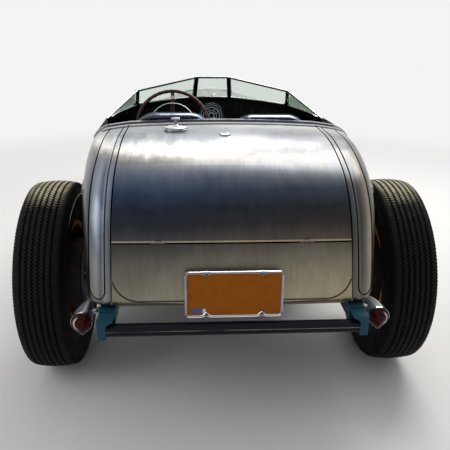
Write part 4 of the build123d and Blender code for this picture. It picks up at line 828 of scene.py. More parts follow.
def make_plate():
    outer = rounded_rect(0.314, 0.162, 0.014, steps=8, runs=48)
    inner = inset(outer, [0.0092 + sum(swelling(u, v, x, z) for x, z in PLATE_BOLTS) for u, v in outer])
    shape = Shape()
    shape.band(outer, inner, PLATE_PLANE, [
        (0.0, 0.0), (0.0, 0.0050), (0.10, 0.0080), (0.30, 0.0090), (0.48, 0.0080), (0.56, 0.0064),
        (0.64, 0.0080), (0.82, 0.0078), (0.94, 0.0062), (1.0, 0.0050), (1.0, 0.0046)])
    for x in (-0.1475, 0.1475):
        shape.tube([PLATE + Vector((x, 0.0, 0.045)), PLATE + Vector((x, 0.045, 0.045))], 0.0048)
    shape.piece("plate_surround", "chrome", replaces=["plate_frame"])
    bolts = Shape()
    head = [(0.004, 0), (0.004, 0.0062), (0.0105, 0.0058), (0.0125, 0.0040), (0.0128, 0.0)]
    for x, z in PLATE_BOLTS:
        bolts.turn(head, on(PLATE_PLANE, x, z), -FORWARD, 20)
    bolts.piece("plate_bolts", "bare_aluminium")
    rim = Shape()
    edge = rounded_rect(0.300, 0.148, 0.008)
    section = [(0, 0.0042), (0.25, 0.0052), (0.75, 0.0052), (1, 0.0042)]
    rim.band(edge, inset(edge, 0.0035), PLATE_PLANE, section)
    rim.piece("plate_rim", "plate_orange")
    corner = on(PLATE_PLANE, -0.117, -0.0565)
    sticker, pale = Shape(), Shape()
    sticker.slab(rounded_rect(0.041, 0.0165, 0.002), (corner, RIGHT, UP), 0.0043, 0.0049, 0.0002)
    sticker.piece("blank_sticker", "sticker_blue")
    end = corner + RIGHT * 0.0215
    pale.slab(rounded_rect(0.011, 0.0150, 0.005), (end, RIGHT, UP), 0.0043, 0.0051, 0.0002)
    pale.piece("blank_sticker_end", "dial_print")


make_plate()


# Rear lid: turned handle disc with its crossbar, and the lock

def make_deck_hardware():
    lid = skin("deck_lid")
    shape = Shape()
    foot = top_of(lid, -0.194, REAR_AXLE + 0.045)
    shape.turn([
        (-0.002, 0), (-0.002, 0.0450), (0.001, 0.0462), (0.0045, 0.0462), (0.0060, 0.0440), (0.0075, 0.0455),
        (0.0120, 0.0455), (0.0142, 0.0430), (0.0150, 0.0300), (0.0158, 0.0130), (0.0190, 0.0110),
        (0.0215, 0.0070), (0.042, 0.0050), (0.042, 0.0)], foot, UP, 56)
    crossbar = foot + UP * 0.043
    shape.tube([crossbar + RIGHT * x for x in (-0.014, -0.007, 0.0, 0.007, 0.014)],
               [0.0050, 0.0042, 0.0052, 0.0042, 0.0050], 14)
    lock = top_of(lid, -0.004, REAR_AXLE - 0.040)
    shape.turn([
        (-0.002, 0), (-0.002, 0.0215), (0.002, 0.022), (0.0055, 0.0195), (0.0070, 0.0130), (0.0070, 0.0085),
        (0.0055, 0.0080), (0.0055, 0.0)], lock, UP + FORWARD * -0.1, 40)
    shape.slab(rounded_rect(0.0018, 0.008, 0.0006), (lock + UP * 0.0058, RIGHT, FORWARD), -0.002, 0.0006)
    shape.piece("lid_handle_and_lock", "chrome", "rear_lid", replaces=["deck_hardware"])


make_deck_hardware()


# Tail lamps: a bright rim and a pointed lens with rings, and the bolt above each

def teardrop(radius):
    """A round outline drawn down to a blunt point, anticlockwise."""
    tip, drop = 0.16 * radius, 1.12 * radius
    lean = asin((radius - tip) / drop)
    wide = [-lean + (pi + 2 * lean) * k / 40 for k in range(41)]
    narrow = [pi + lean + (pi - 2 * lean) * k / 8 for k in range(9)]
    outline = [(radius * cos(a), radius * sin(a)) for a in wide]
    return outline + [(tip * cos(a), -drop + tip * sin(a)) for a in narrow]


def make_tail_lamps():
    rims, lenses, bolts = Shape(), Shape(), Shape()
    for side, _ in SIDES:
        plane = (at(side * LAMP_X, LAMP_FACE, LAMP_Z), RIGHT, UP)
        rims.band(teardrop(0.0360), teardrop(0.0332), plane, [
            (0, -0.004), (0, 0.002), (0.25, 0.0042), (0.7, 0.0038), (1, 0.0005), (1, -0.004)])
        rings = []
        for share, height in ((1.0, -0.004), (1.0, 0.001), (0.93, 0.006), (0.78, 0.0125), (0.58, 0.0165),
                              (0.52, 0.0150), (0.46, 0.0182), (0.22, 0.0196)):
            rings.append(lenses.ring([
                on(plane, u * share, v * share - 0.002 * (1 - share), height) for u, v in teardrop(0.0334)]))
        lenses.join(rings)
        lenses.bridge(rings[-1], lenses.ring([on(plane, 0, 0, 0.0200)]))
        lenses.bridge(rings[0], lenses.ring([on(plane, 0, 0, -0.005)]))
        bolts.bolt(at(side * (LAMP_X - 4), LAMP_FACE + 132, LAMP_Z + 14), UP - FORWARD * 0.6, 0.0052)
    rims.piece("tail_lamp_rims", "chrome")
    lenses.piece("tail_lamp_domes", "red_lens", sharp=50, replaces=["tail_lamp_lenses"])
    bolts.piece("tail_lamp_bolts", "bare_aluminium")


make_tail_lamps()


# Screen: bright bead on the top rail, toothed inner posts, feet, and seals along the body

INNER_FOOT, INNER_TOP = (118, 1638), (102, 1467, 1071)
OUTER_FOOT, OUTER_TOP = (492, 1488), (473, 1367, 994)
SCREEN_TIP = (606, 925, 878)
SEAL_CORNERS = [(0, 1638), INNER_FOOT, OUTER_FOOT, SCREEN_TIP[:2]]
SEAL_RUN = 10


def seal_line(surface, side):
    """Where the screen meets the body, from the middle to one tip."""
    line = []
    for (x0, s0), (x1, s1) in zip(SEAL_CORNERS, SEAL_CORNERS[1:]):
        for k in range(SEAL_RUN):
            share = k / SEAL_RUN
            place = at(side * (x0 + (x1 - x0) * share), s0 + (s1 - s0) * share, 0)
            hit = top_of(surface, place.x, place.y)
            if hit:
                line.append(hit)
    return line


def make_screen():
    cowl = skin("cowl")
    bead, seal, gleam, strip, teeth = Shape(), Shape(), Shape(), Shape(), Shape()
    top = [at(*SCREEN_TIP), at(*OUTER_TOP), at(*INNER_TOP)]
    top += [Vector((-p.x, p.y, p.z)) for p in reversed(top)]
    path = []
    for start, end in zip(top, top[1:]):
        path += [start] + [start.lerp(end, k / 6) for k in range(1, 6)]
    bead.tube([p + UP * 0.0048 - FORWARD * 0.0015 for p in path + top[-1:]], 0.0024)
    tooth = [(-0.0045, 0), (-0.0045, 0.0046), (0.0035, 0.0046), (0.0045, 0.003), (0.0045, 0)]
    shoe = [(-0.036, -0.004), (0.030, -0.004), (0.012, 0.034), (0.010, 0.062), (-0.012, 0.062),
            (-0.014, 0.034)]
    for side, _ in SIDES:
        line = seal_line(cowl, side)
        seal.tube([p + UP * 0.0025 for p in line], 0.0058, lift=UP, flat=0.7)
        gleam.tube([p + UP * 0.0052 - FORWARD * 0.0058 for p in line], 0.0017, 8)
        under_wing = [p + Vector((-side * 0.010, -0.006, 0.0035)) for p in line[2 * SEAL_RUN + 1:]]
        strip.tube(under_wing, 0.0105, lift=UP, flat=0.35)
        start, end = at(side * INNER_FOOT[0], INNER_FOOT[1], 934), at(side * INNER_TOP[0], *INNER_TOP[1:])
        for k in range(11):
            place = start.lerp(end, (k + 1.2) / 12.4) + RIGHT * side * 0.0135 - FORWARD * 0.001
            teeth.turn(tooth, place, -FORWARD, 14)
        foot, head = at(side * OUTER_FOOT[0], OUTER_FOOT[1], 890), at(side * OUTER_TOP[0], *OUTER_TOP[1:])
        rise = (head - foot).normalized()
        teeth.slab(shoe, (foot + rise * 0.002, RIGHT, rise), -0.006, 0.008, 0.0015)
    bead.piece("screen_bright_rail", "chrome")
    seal.piece("screen_seal", "tyre")
    gleam.piece("screen_seal_bead", "chrome")
    strip.piece("wing_base_strips", "strip_alloy")
    teeth.piece("screen_post_teeth", "screen_frame")


make_screen()


# Steering wheel: gripped rim, banjo spokes, bright horn ring and hub

WHEEL_CENTRE = at(-250, 1159, 806)
COLUMN_TILT = radians(22.0)
COLUMN_UP = Vector((0, -cos(COLUMN_TILT), sin(COLUMN_TILT)))
WHEEL_UP = Vector((0, sin(COLUMN_TILT), cos(COLUMN_TILT)))
GRIP_RADIUS, HORN_RADIUS = 0.216, 0.137


def on_wheel(angle, radius, lift=0.0, aside=0.0):
    """A place in the steering wheel's plane."""
    out, across = spin(angle, RIGHT, WHEEL_UP), spin(angle, WHEEL_UP, -RIGHT)
    return WHEEL_CENTRE + out * radius + across * aside + COLUMN_UP * lift


def make_steering_wheel():
    grip, metal, button = Shape(), Shape(), Shape()
    count = 216
    grip.tube([on_wheel(a, GRIP_RADIUS) for a in circle(count)],
              [0.0104 + 0.0006 * cos(2 * pi * k / 6) for k in range(count)], 16, closed=True, lift=COLUMN_UP)
    for a in (radians(90.0), radians(210.0), radians(330.0)):
        grip.tube([on_wheel(a, 0.196), on_wheel(a, 0.206)], [0.012, 0.0105], 12, lift=COLUMN_UP, flat=0.7)
        for aside in (-0.012, -0.004, 0.004, 0.012):
            grip.tube([on_wheel(a, 0.024, 0.004, aside), on_wheel(a, 0.200, 0.0, aside * 0.7)], 0.0016, 8)
    grip.piece("steering_rim", "steering_plastic", "steering", replaces=["steering_wheel"])
    for a in (radians(210.0), radians(270.0), radians(330.0)):
        metal.tube([on_wheel(a, 0.030, 0.010), on_wheel(a, 0.090, 0.015), on_wheel(a, HORN_RADIUS, 0.018)],
                   [0.0036, 0.0030, 0.0034])
    metal.tube([on_wheel(a, HORN_RADIUS, 0.018) for a in circle(96)], 0.0032, 12, closed=True)
    metal.turn([(-0.020, 0.0104), (-0.020, 0.030), (-0.012, 0.034), (0.008, 0.034), (0.013, 0.031),
                (0.014, 0.026)], WHEEL_CENTRE, COLUMN_UP, 40)
    metal.piece("horn_ring", "chrome", "steering")
    button.turn([(0.010, 0.0265), (0.017, 0.0255), (0.021, 0.021), (0.0235, 0.010), (0.024, 0.0)],
                WHEEL_CENTRE, COLUMN_UP, 40)
    button.piece("horn_button", "steering_plastic", "steering")


make_steering_wheel()


# Dash: the round cluster with its bezel, dial rings, graduations and needles, and small knobs

GAUGE = at(-3, 1604, 812)


def make_gauges():
    bright, dial, needles, knobs = Shape(), Shape(), Shape(), Shape()
    bright.turn([(0.0, 0.080), (0.006, 0.0805), (0.009, 0.083), (0.0085, 0.0865), (0.004, 0.089),
                 (-0.010, 0.089)], GAUGE, -FORWARD, 72)
    for radius, wide in ((0.072, 0.0018), (0.055, 0.0028), (0.035, 0.0020), (0.018, 0.0030)):
        dial.turn([(0.0004, radius - wide), (0.0016, radius - wide * 0.5), (0.0016, radius + wide * 0.5),
                   (0.0004, radius + wide)], GAUGE, -FORWARD, 72)
    high = 0.068
    for k in range(60):
        a = radians(6.0 * k)
        out = spin(a, RIGHT, UP)
        low, wide = (0.060, 0.0011) if k % 5 == 0 else (0.064, 0.0006)
        half = (high - low) / 2
        dial.slab([(-half, -wide), (half, -wide), (half, wide), (-half, wide)],
                  (GAUGE + out * (low + high) / 2, out, spin(a, UP, -RIGHT)), 0.0004, 0.0014)
    for dx, dz, angle in ((-0.026, 0.026, 130.0), (0.026, 0.026, 60.0), (0.0, -0.034, 100.0)):
        centre = GAUGE + RIGHT * dx + UP * dz
        dial.turn([(0.001, 0.0150), (0.0022, 0.0158), (0.0022, 0.0166), (0.001, 0.0172)],
                  centre, -FORWARD, 32)
        tip = centre + spin(radians(angle), RIGHT, UP) * 0.013 - FORWARD * 0.003
        needles.tube([centre - FORWARD * 0.003, tip], [0.0011, 0.0005], 6)
    tip = GAUGE + spin(radians(215.0), RIGHT, UP) * 0.050 - FORWARD * 0.004
    needles.tube([GAUGE - FORWARD * 0.004, tip], [0.0016, 0.0006], 6)
    bright.piece("gauge_bezel", "chrome")
    dial.piece("gauge_dial", "dial_print")
    needles.piece("gauge_needles", "red_lens")
    dash = skin("dash")
    knob = [(-0.002, 0.0), (-0.002, 0.010), (0.003, 0.010), (0.005, 0.005), (0.014, 0.005), (0.016, 0.010),
            (0.024, 0.0105), (0.027, 0.006), (0.027, 0.0)]
    for x, station in ((150, 1560), (195, 1560), (240, 1545), (-130, 1560)):
        hit = dash.ray_cast(at(x, station - 500, 775), FORWARD)[0]
        if hit:
            knobs.turn(knob, hit, -FORWARD, 24)
    knobs.piece("dash_knobs", "chrome")


make_gauges()


# Wheels: domed caps, trim rings, painted lines and valves

def make_wheel_trim():
    for place, axle, height, body_x, rim in (
        ("rear", REAR_AXLE, REAR_RADIUS, 0.680, 0.066), ("front", FRONT_AXLE, FRONT_RADIUS, 0.702, 0.052),
    ):
        for side, name in SIDES:
            centre, out = Vector((side * body_x, axle, height)), RIGHT * side
            body = f"{place}_{name}"
            cap, lines = Shape(), Shape()
            cap.turn([(0.0125, 0.096), (0.0125, 0.101), (0.019, 0.103), (0.024, 0.099), (0.036, 0.094),
                      (0.050, 0.079), (0.059, 0.055), (0.063, 0.028), (0.064, 0.0)], centre, out, 64)
            cap.turn([(rim - 0.010, 0.1966), (rim - 0.004, 0.1970), (rim + 0.001, 0.2005),
                      (rim + 0.0025, 0.2060), (rim + 0.0020, 0.2150), (rim - 0.0005, 0.2195),
                      (rim - 0.0030, 0.2195)], centre, out, 96)
            cap.piece(f"hub_cap_{body}", "chrome", body)
            for radius, wide, depth in ((0.168, 0.0016, 0.0185), (0.158, 0.0007, 0.0145)):
                low, high = depth - 0.001, depth + 0.0004
                lines.turn([(low, radius - wide), (high, radius - wide), (high, radius + wide),
                            (low, radius + wide)], centre, out, 96, closed=True)
            valve = centre + UP * 0.182 + out * 0.004
            lines.tube([valve, valve + out * 0.014 - UP * 0.003, valve + out * 0.030 - UP * 0.010],
                       [0.0040, 0.0036, 0.0030], 12)
            lines.piece(f"wheel_lines_{body}", "cream_line", body)


make_wheel_trim()


# Brakes seen from inboard: cylinders, bolts and hoses on the backing plates

def make_brakes():
    bits, hoses = Shape(), Shape()
    for side, _ in SIDES:
        face, inward = at(side * 560, 0, REAR_RADIUS * 1000), -RIGHT * side
        for count, first, reach, size in ((8, 22.5, 0.128, 0.0058), (4, 45, 0.062, 0.0072)):
            for k in range(count):
                a = radians(first + 360 / count * k)
                bits.bolt(face + spin(a, FORWARD, UP) * reach, inward, size)
        cylinder = face + UP * 0.105 + inward * 0.008
        bits.tube([cylinder - FORWARD * 0.028, cylinder + FORWARD * 0.028], 0.014, 16)
        bits.bolt(cylinder + inward * 0.012 - FORWARD * 0.020, inward, 0.005)
        hoses.tube([cylinder + inward * 0.010, cylinder + inward * 0.040 - UP * 0.010,
                    face + inward * 0.090 + UP * 0.060, face + inward * 0.160 + UP * 0.045,
                    face + inward * 0.430 + UP * 0.050], 0.0035)
    bits.piece("rear_brake_fittings", "bare_aluminium")
    hoses.piece("rear_brake_lines", "exhaust_steel")


make_brakes()


# Seats: sheet shells with rolled rims, and leather pads with sewn channels

SEAT_X, SEAT_HALF = 215.0, 0.182
SEAT_LOW, BACK_LOW, BACK_STATION = 494.3, 524.3, 395.0
SEAT_TOPS = {"left": 992.0, "right": 984.0}
SHEET = 0.004
RIM_DEEP, RIM_SHALLOW = 0.070, 0.030
BACK_LEAN = radians(14.0)
BACK_UP = Vector((0, -sin(BACK_LEAN), cos(BACK_LEAN)))
BACK_OUT = Vector((0, cos(BACK_LEAN), sin(BACK_LEAN)))
PAD_VOXEL, PAD_PRESSURE, PAD_FRAMES, PAD_CAP, PAD_REST = 0.006, 4.0, 20, 0.008, 0.0004
CHANNEL_STEP, CHANNEL_WIDTH, CHANNEL_DEPTH = 0.046, 0.0042, 0.0075


def rim_depth(v):
    """How far a seat back's rim reaches forward, by the distance up the back."""
    share = min(1.0, max(0.0, (v - 0.22) / 0.20))
    return RIM_DEEP + (RIM_SHALLOW - RIM_DEEP) * share * share * (3 - 2 * share)


def tray(shape, outline, plane, deep, floor):
    """A sheet tray with a rolled rim. deep holds its wall's height at each point of the outline."""
    rings = []
    for sunk, height, share in (
        (0.006, 0.0, 0), (0.0015, 0.0015, 0), (0.0, 0.006, 0), (0.0, -0.004, 1), (SHEET, -0.004, 1),
        (SHEET, floor + 0.004, 0), (0.012, floor, 0),
    ):
        line = inset(outline, sunk) if sunk else outline
        rings.append(shape.ring([on(plane, u, v, height + share * d) for (u, v), d in zip(line, deep)]))
    shape.join(rings)
    shape.cap(rings)
    rim = [on(plane, u, v, d - 0.003) for (u, v), d in zip(inset(outline, 0.002), deep)]
    shape.tube(rim, 0.0046, 8, closed=True)


def make_seat_shells():
    shape = Shape()
    for side, name in SIDES:
        tall = (SEAT_TOPS[name] - BACK_LOW) / 1000 / cos(BACK_LEAN)
        back = [(u, v + tall / 2) for u, v in rounded_rect(2 * SEAT_HALF, tall, 0.110, 10, 10)]
        plane = (at(side * SEAT_X, BACK_STATION, BACK_LOW), -RIGHT, BACK_UP)
        tray(shape, back, plane, [rim_depth(v) for _, v in back], 0.006)
        base = rounded_rect(2 * SEAT_HALF, 0.425, 0.045, 8, 6)
        plane = (at(side * SEAT_X, 617.5, SEAT_LOW), RIGHT, FORWARD)
        tray(shape, base, plane, [0.1455] * len(base), 0.090)
    shape.piece("bucket_shells", "bare_aluminium", replaces=["seat_shells"])


def settled(form):
    """An object's mesh with its modifiers applied."""
    data = bpy.data.meshes.new_from_object(form.evaluated_get(bpy.context.evaluated_depsgraph_get()))
    form.modifiers.clear()
    form.data = data
    return data


def inflate(form):
    """Blows a form up as cloth, no point further than the cap."""
    start = [v.co.copy() for v in form.data.vertices]
    cloth = form.modifiers.new("cloth", "CLOTH")
    cloth.settings.use_pressure = True
    cloth.settings.uniform_pressure_force = PAD_PRESSURE
    cloth.settings.effector_weights.gravity = 0
    cloth.point_cache.frame_start, cloth.point_cache.frame_end = 1, PAD_FRAMES
    for step in range(1, PAD_FRAMES + 1):
        scene.frame_set(step)
    data = settled(form)
    scene.frame_set(1)
    for vertex, rest in zip(data.vertices, start):
        move = vertex.co - rest
        if move.length > PAD_CAP:
            vertex.co = rest + move * (PAD_CAP / move.length)


def make_pad(name, plane, outline, thick):
    """A leather pad: inflated as cloth, flat where it rests, then sewn into channels."""
    origin, x_dir, y_dir = plane
    normal = x_dir.cross(y_dir)
    block = Shape()
    block.slab(outline, plane, PAD_REST, thick, 0.010)
    form = place_object("pad_form", block.mesh(name))
    remesh = form.modifiers.new("remesh", "REMESH")
    remesh.mode = "VOXEL"
    remesh.voxel_size = PAD_VOXEL
    settled(form)
    inflate(form)
    form.modifiers.new("finer", "SUBSURF").levels = 1
    data = settled(form)
    count = int(max(u for u, _ in outline) / CHANNEL_STEP)
    seams = [k * CHANNEL_STEP for k in range(-count, count + 1)]
    for vertex in data.vertices:
        local = vertex.co - origin
        u, w = local.dot(x_dir), local.dot(normal)
        if w < PAD_REST:
            vertex.co += normal * (PAD_REST - w)
        sewn = sum(exp(-((u - seam) / CHANNEL_WIDTH) ** 2) for seam in seams)
        vertex.co -= normal * sewn * CHANNEL_DEPTH * min(1.0, max(0.0, w / thick - 0.35))
    bpy.data.objects.remove(form)
    pad = finish_piece(data, name, "black_leather", "chassis", sharp=0, replaces=["seat_pads"])


def make_pads():
    piping = Shape()
    for side, name in SIDES:
        base = at(side * SEAT_X, 659, 584.6)
        back = at(side * SEAT_X, BACK_STATION, BACK_LOW) + BACK_UP * 0.318 + BACK_OUT * 0.0083
        for kind, plane, width, tall, corner, thick in (
            ("base", (base, RIGHT, FORWARD), 0.324, 0.304, 0.045, 0.056),
            ("back", (back, -RIGHT, BACK_UP), 0.312, 0.218, 0.064, 0.036),
        ):
            outline = rounded_rect(width, tall, corner, 8, 6)
            make_pad(f"seat_{kind}_{name}", plane, outline, thick)
            edge = [on(plane, u, v, thick * 0.80) for u, v in inset(outline, -0.004)]
            piping.tube(edge, 0.0030, 8, closed=True)
    piping.piece("seat_piping", "black_leather")


make_seat_shells()
make_pads()


# Doors: handles outside, and inside a trimmed panel with its lever

TRIM_ROWS, TRIM_COLUMNS = 15, 44
HANDLE_FOOT = [(-0.001, 0), (-0.001, 0.0175), (0.003, 0.0170), (0.006, 0.0115), (0.010, 0.0085),
               (0.022, 0.0070), (0.022, 0)]
# The lever's points: out, and forwards in shares of its reach
HANDLE_LEVER = ((0.020, 0.0), (0.0245, 0.022), (0.0250, 0.060), (0.0225, 0.092))


def door_panel(surface, side):
    """A pleated sheet that follows the door's inner face."""
    panel, out = Shape(), RIGHT * side
    near, far = [], []
    for i in range(TRIM_ROWS):
        places = [at(side * 400, 440 + 9.5 * j, 575 + 18 * i) for j in range(TRIM_COLUMNS)]
        hits = [surface.ray_cast(place, out)[0] for place in places]
        if all(hits):
            pleat = 0.0022 if 2 < i < 13 else 0.0
            near.append([hit - out * 0.0006 for hit in hits])
            far.append([hit - out * (0.0050 + pleat * abs(sin(pi * j / 4))) for j, hit in enumerate(hits)])
    inner, outer = ([panel.ring(row) for row in rows] for rows in (near, far))
    for rows in (inner, outer):
        panel.join(rows, cyclic=False)
    for end in (0, -1):
        panel.bridge(inner[end], outer[end], cyclic=False)
    for end in (0, -1):
        panel.bridge([row[end] for row in inner], [row[end] for row in outer], cyclic=False)
    return panel


def make_doors():
    for side, name in SIDES:
        surface, out = skin(f"door_{name}"), RIGHT * side
        door_panel(surface, side).piece(f"door_trim_{name}", "black_leather", f"{name}_door")
        metal = Shape()
        outside = surface.ray_cast(at(side * 900, 468, 790), -out)[0]
        inside = surface.ray_cast(at(side * 400, 500, 800), out)[0] - out * 0.005
        for place, axis, reach in ((outside, out, 1.0), (inside, -out, 0.75)):
            metal.turn(HANDLE_FOOT, place, axis, 32)
            metal.tube([place + axis * away + FORWARD * ahead * reach for away, ahead in HANDLE_LEVER],
                       [0.0076, 0.0072, 0.0062, 0.0048], 14)
        metal.piece(f"door_handles_{name}", "chrome", f"{name}_door")


make_doors()


# Cockpit floor: ribbed mats, pedals, and the gear lever in its boot

def ribs(shape, plane, size, count, step, low, high, chamfer):
    """Raised ribs across a mat."""
    for k in range(count):
        rib = [(u, v + (k - count // 2) * step) for u, v in rounded_rect(*size, 3)]
        shape.slab(rib, plane, low, high, chamfer)


def make_controls():
    mats, arms, lever, knob = Shape(), Shape(), Shape(), Shape()
    for side, _ in SIDES:
        plane = (at(side * 345, 1250, 494.4), RIGHT, FORWARD)
        mats.slab(rounded_rect(0.390, 0.600, 0.03), plane, 0.0, 0.004, 0.001)
        ribs(mats, plane, (0.350, 0.0075, 0.003), 27, 0.021, 0.003, 0.0062, 0.0008)
    for x, wide, z in ((-345, 0.060, 612), (-184, 0.060, 612), (-148, 0.024, 560)):
        arms.tube([at(x, 1712, 496), at(x, 1700, z - 50), at(x, 1652, z)], 0.0075, 12)
        plane = (at(x, 1648, z), RIGHT, Vector((0, 0.5, 0.866)))
        arms.slab(rounded_rect(wide - 0.004, 0.050, 0.008), plane, -0.004, 0.003, 0.001)
        mats.slab(rounded_rect(wide, 0.054, 0.009), plane, 0.0025, 0.009, 0.002)
        ribs(mats, plane, (wide * 0.8, 0.004, 0.0015), 5, 0.009, 0.008, 0.0105, 0.0006)
    foot = top_of(skin("floor"), 0.0, REAR_AXLE + 1.330)
    mats.turn([(-0.001, 0.0), (-0.001, 0.052), (0.005, 0.052), (0.007, 0.044), (0.013, 0.046), (0.017, 0.036),
               (0.023, 0.038), (0.028, 0.026), (0.034, 0.028), (0.046, 0.010), (0.056, 0.009), (0.056, 0.0)],
              foot, UP, 40)
    top = foot + UP * 0.235 - FORWARD * 0.120
    lever.tube([foot + UP * 0.040, foot + UP * 0.120 - FORWARD * 0.020,
                foot + UP * 0.190 - FORWARD * 0.085, top], [0.0070, 0.0064, 0.0058, 0.0054], 14)
    ball, half_turn = 0.0215, [pi * k / 14 for k in range(15)]
    knob.turn([(ball * -cos(a), ball * sin(a)) for a in half_turn], top + UP * 0.018, UP, 32)
    mats.piece("floor_mats", "tyre")
    arms.piece("pedal_arms", "chassis_black")
    lever.piece("gear_lever", "chrome")
    knob.piece("gear_knob", "steering_plastic")


make_controls()


# Headlamps: bright rims and fluted lenses

LENS_RADIUS, LENS_BULGE, LENS_RINGS = 0.0828, 0.022, 18


def make_headlamps():
    rims, lenses = Shape(), Shape()
    for side, _ in SIDES:
        face = at(side * 352, 2792, 690)
        rims.turn([(-0.014, 0.0922), (-0.004, 0.0945), (0.004, 0.0945), (0.009, 0.0915), (0.010, 0.0865),
                   (0.006, 0.0835), (0.002, 0.0835), (0.002, 0.0922)], face, FORWARD, 72, closed=True)
        rims.bolt(face + UP * -0.0925 + FORWARD * 0.002, -UP, 0.0040)
        layers = []
        for k in range(1, LENS_RINGS + 1):
            share = k / LENS_RINGS
            points = []
            for a in circle(96):
                u, v = LENS_RADIUS * share * cos(a), LENS_RADIUS * share * sin(a)
                flute = 0.0009 * cos(2 * pi * u / 0.011) * (share < 0.97)
                points.append(face + RIGHT * u + UP * v + FORWARD * (LENS_BULGE * (1 - share ** 2) + flute))
            layers.append(lenses.ring(points))
        lenses.bridge(lenses.ring([face + FORWARD * 0.0229]), layers[0])
        lenses.join(layers)
        back = lenses.ring([face + spin(a, RIGHT, UP) * LENS_RADIUS - FORWARD * 0.003 for a in circle(96)])
        lenses.bridge(layers[-1], back)
        lenses.faces.append(tuple(back))
    rims.piece("headlamp_rims", "chrome")
    lenses.piece("headlamp_fluted_lenses", "glass", replaces=["headlamp_lenses"])


make_headlamps()


# Mechanical detail: bolts on what they hold, the fan, the cleaner's lid, pipe clamps and hood catches

CLAMP = [(-0.012, 0.0252), (-0.012, 0.0282), (0.012, 0.0282), (0.012, 0.0252)]
FLANGE = [(-0.004, 0.0205), (-0.006, 0.0240), (-0.003, 0.0272), (0.010, 0.0268), (0.014, 0.0252),
          (0.014, 0.0205)]
CATCH_FOOT = [(-0.001, 0), (-0.001, 0.011), (0.004, 0.0105), (0.006, 0.006), (0.006, 0)]
FAN_BLADE = [(0.020, -0.026), (0.100, -0.040), (0.168, -0.042), (0.178, -0.020), (0.178, 0.020),
             (0.168, 0.040), (0.100, 0.036), (0.020, 0.024)]


def bolts_on(shape, node, places, direction, radius):
    """Bolts where rays first meet a node."""
    surface = skin(node)
    for place in places:
        hit, normal = surface.ray_cast(place, direction)[:2]
        if hit:
            shape.bolt(hit, normal if normal.dot(direction) < 0 else -normal, radius)


def make_mechanics():
    bolts, dark, bright, clamps = Shape(), Shape(), Shape(), Shape()
    round_cover = [at(128 * cos(a), -600, 381 + 128 * sin(a)) for a in circle(10)]
    bolts_on(bolts, "rear_axle", round_cover, FORWARD, 0.0065)
    hood_sides = skin("hood_sides")
    for side, _ in SIDES:
        inward = -RIGHT * side
        heads = [at(side * 900, s, z) for s in range(1900, 2400, 80) for z in (560, 640, 700)]
        bolts_on(bolts, "engine", heads, inward, 0.0075)
        along = [at(side * 900, s, 440) for s in (250, 700, 1180, 1660, 2300)]
        bolts_on(bolts, "frame_rails", along, inward, 0.0080)
        below = [at(side * x, s, 100) for x in (60, 150) for s in (2690, -130)]
        bolts_on(bolts, "crossmembers", below, UP, 0.0070)
        for station in (640, 1000, 1400):
            clamps.turn(CLAMP, at(side * 320, station, 458.7), FORWARD, 32, closed=True)
        clamps.turn(FLANGE, at(side * 320, 424, 458.7), FORWARD, 40, closed=True)
        for station in (1850, 2470):
            hit = hood_sides.ray_cast(at(side * 900, station, 762), inward)[0]
            if hit:
                bright.tube([hit - UP * 0.020 - inward * 0.006, hit - inward * 0.009,
                             hit + UP * 0.020 - inward * 0.006], [0.0050, 0.0062, 0.0046], 12)
                bright.turn(CATCH_FOOT, hit - UP * 0.018, -inward, 24)
    lid = at(0, 2130, 800)
    bright.turn([(-0.002, 0.0), (-0.002, 0.1460), (0.003, 0.1485), (0.010, 0.1450), (0.016, 0.120),
                 (0.021, 0.040), (0.022, 0.012), (0.032, 0.010), (0.034, 0.0)], lid, UP, 72)
    nut = lid + UP * 0.034
    bright.tube([nut - RIGHT * 0.018, lid + UP * 0.030, nut + RIGHT * 0.018], [0.004, 0.006, 0.004], 12)
    hub = at(0, 2428, 600)
    dark.turn([(0.0, 0.0), (0.0, 0.060), (0.006, 0.062), (0.012, 0.052), (0.018, 0.062), (0.024, 0.060),
               (0.026, 0.030), (0.045, 0.028), (0.052, 0.0)], hub, FORWARD, 40)
    for a in (radians(45), radians(135), radians(225), radians(315)):
        twist = spin(0.5, spin(a, UP, -RIGHT), FORWARD).normalized()
        dark.slab(FAN_BLADE, (hub + FORWARD * 0.040, spin(a, RIGHT, UP), twist), -0.0012, 0.0012)
    bolts.piece("bolts_and_studs", "bare_aluminium")
    dark.piece("engine_fan", "chassis_black")
    bright.piece("cleaner_lid_and_catches", "chrome")
    clamps.piece("exhaust_clamps", "exhaust_steel")


make_mechanics()


# Floor, world and lamps

FLOOR_COLOR, FLOOR_REACH = (0.80, 0.80, 0.79), 60.0
BACKGROUND = (0.93, 0.93, 0.93)
FADE_FROM, FADE_TO = 1.9, 5.0
DIFFUSE_LIGHT, SHOWN_LIGHT = 0.55, 0.97


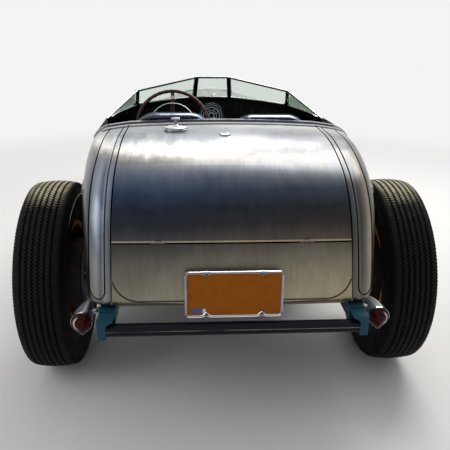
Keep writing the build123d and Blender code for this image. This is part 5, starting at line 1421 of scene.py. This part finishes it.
def shown_rays(s):
    """1 for camera, glossy and transmission rays, 0 for the rays that light the object."""
    total = s.node("LightPath", output="Is Camera Ray")
    for ray in ("Is Glossy Ray", "Is Transmission Ray"):
        feeds = {0: total, 1: s.node("LightPath", output=ray)}
        total = s.node("Math", feeds, operation="ADD", use_clamp=True)
    return total


def floor_material():
    """Pale floor that keeps the shadow near the object and fades to the background far off."""
    s = Shader("floor_pale", FLOOR_COLOR, roughness=0.7, specular_ior_level=0.2)
    glow = s.node("Emission", {"Color": BACKGROUND, "Strength": SHOWN_LIGHT})
    distance = s.node("VectorMath", {0: s.place()}, "Value", operation="LENGTH")
    share = distance.spread(FADE_FROM, FADE_TO) * shown_rays(s)
    blend = s.node("MixShader", {0: share, 1: Value(s, s.bsdf.outputs[0]), 2: glow})
    s.feed(s.tree.nodes["Material Output"].inputs["Surface"], blend)
    return s.material


def make_stage():
    shape, r = Shape(), FLOOR_REACH
    shape.faces.append(tuple(shape.ring([(-r, -r, 0), (r, -r, 0), (r, r, 0), (-r, r, 0)])))
    floor = place_object("floor_stage", shape.mesh("floor"))
    floor.data.materials.append(floor_material())


def make_world():
    scene.world = bpy.data.worlds.new("studio")
    scene.world.use_nodes = True
    s = Nodes(scene.world.node_tree)
    background = s.tree.nodes["Background"]
    s.feed(background.inputs["Strength"], shown_rays(s).spread(0.0, 1.0, DIFFUSE_LIGHT, SHOWN_LIGHT))
    s.feed(background.inputs["Color"], BACKGROUND)


def area_lamp(name, place, target, size, power, color):
    data = bpy.data.lights.new(name, "AREA")
    data.shape = "RECTANGLE"
    data.size, data.size_y = size
    data.energy = power
    data.color = color
    lamp = place_object(name, data)
    lamp.location = place
    lamp.rotation_mode = "QUATERNION"
    lamp.rotation_quaternion = (Vector(target) - Vector(place)).to_track_quat("-Z", "Y")


make_stage()
make_world()
area_lamp("key", (1.5, 1.5, 4.2), (0.0, -0.8, 0.6), (4.0, 2.6), 190.0, (1.0, 0.98, 0.95))
area_lamp("fill", (-4.0, -3.0, 3.0), (0.0, -1.0, 0.5), (3.0, 3.0), 60.0, (0.95, 0.97, 1.0))
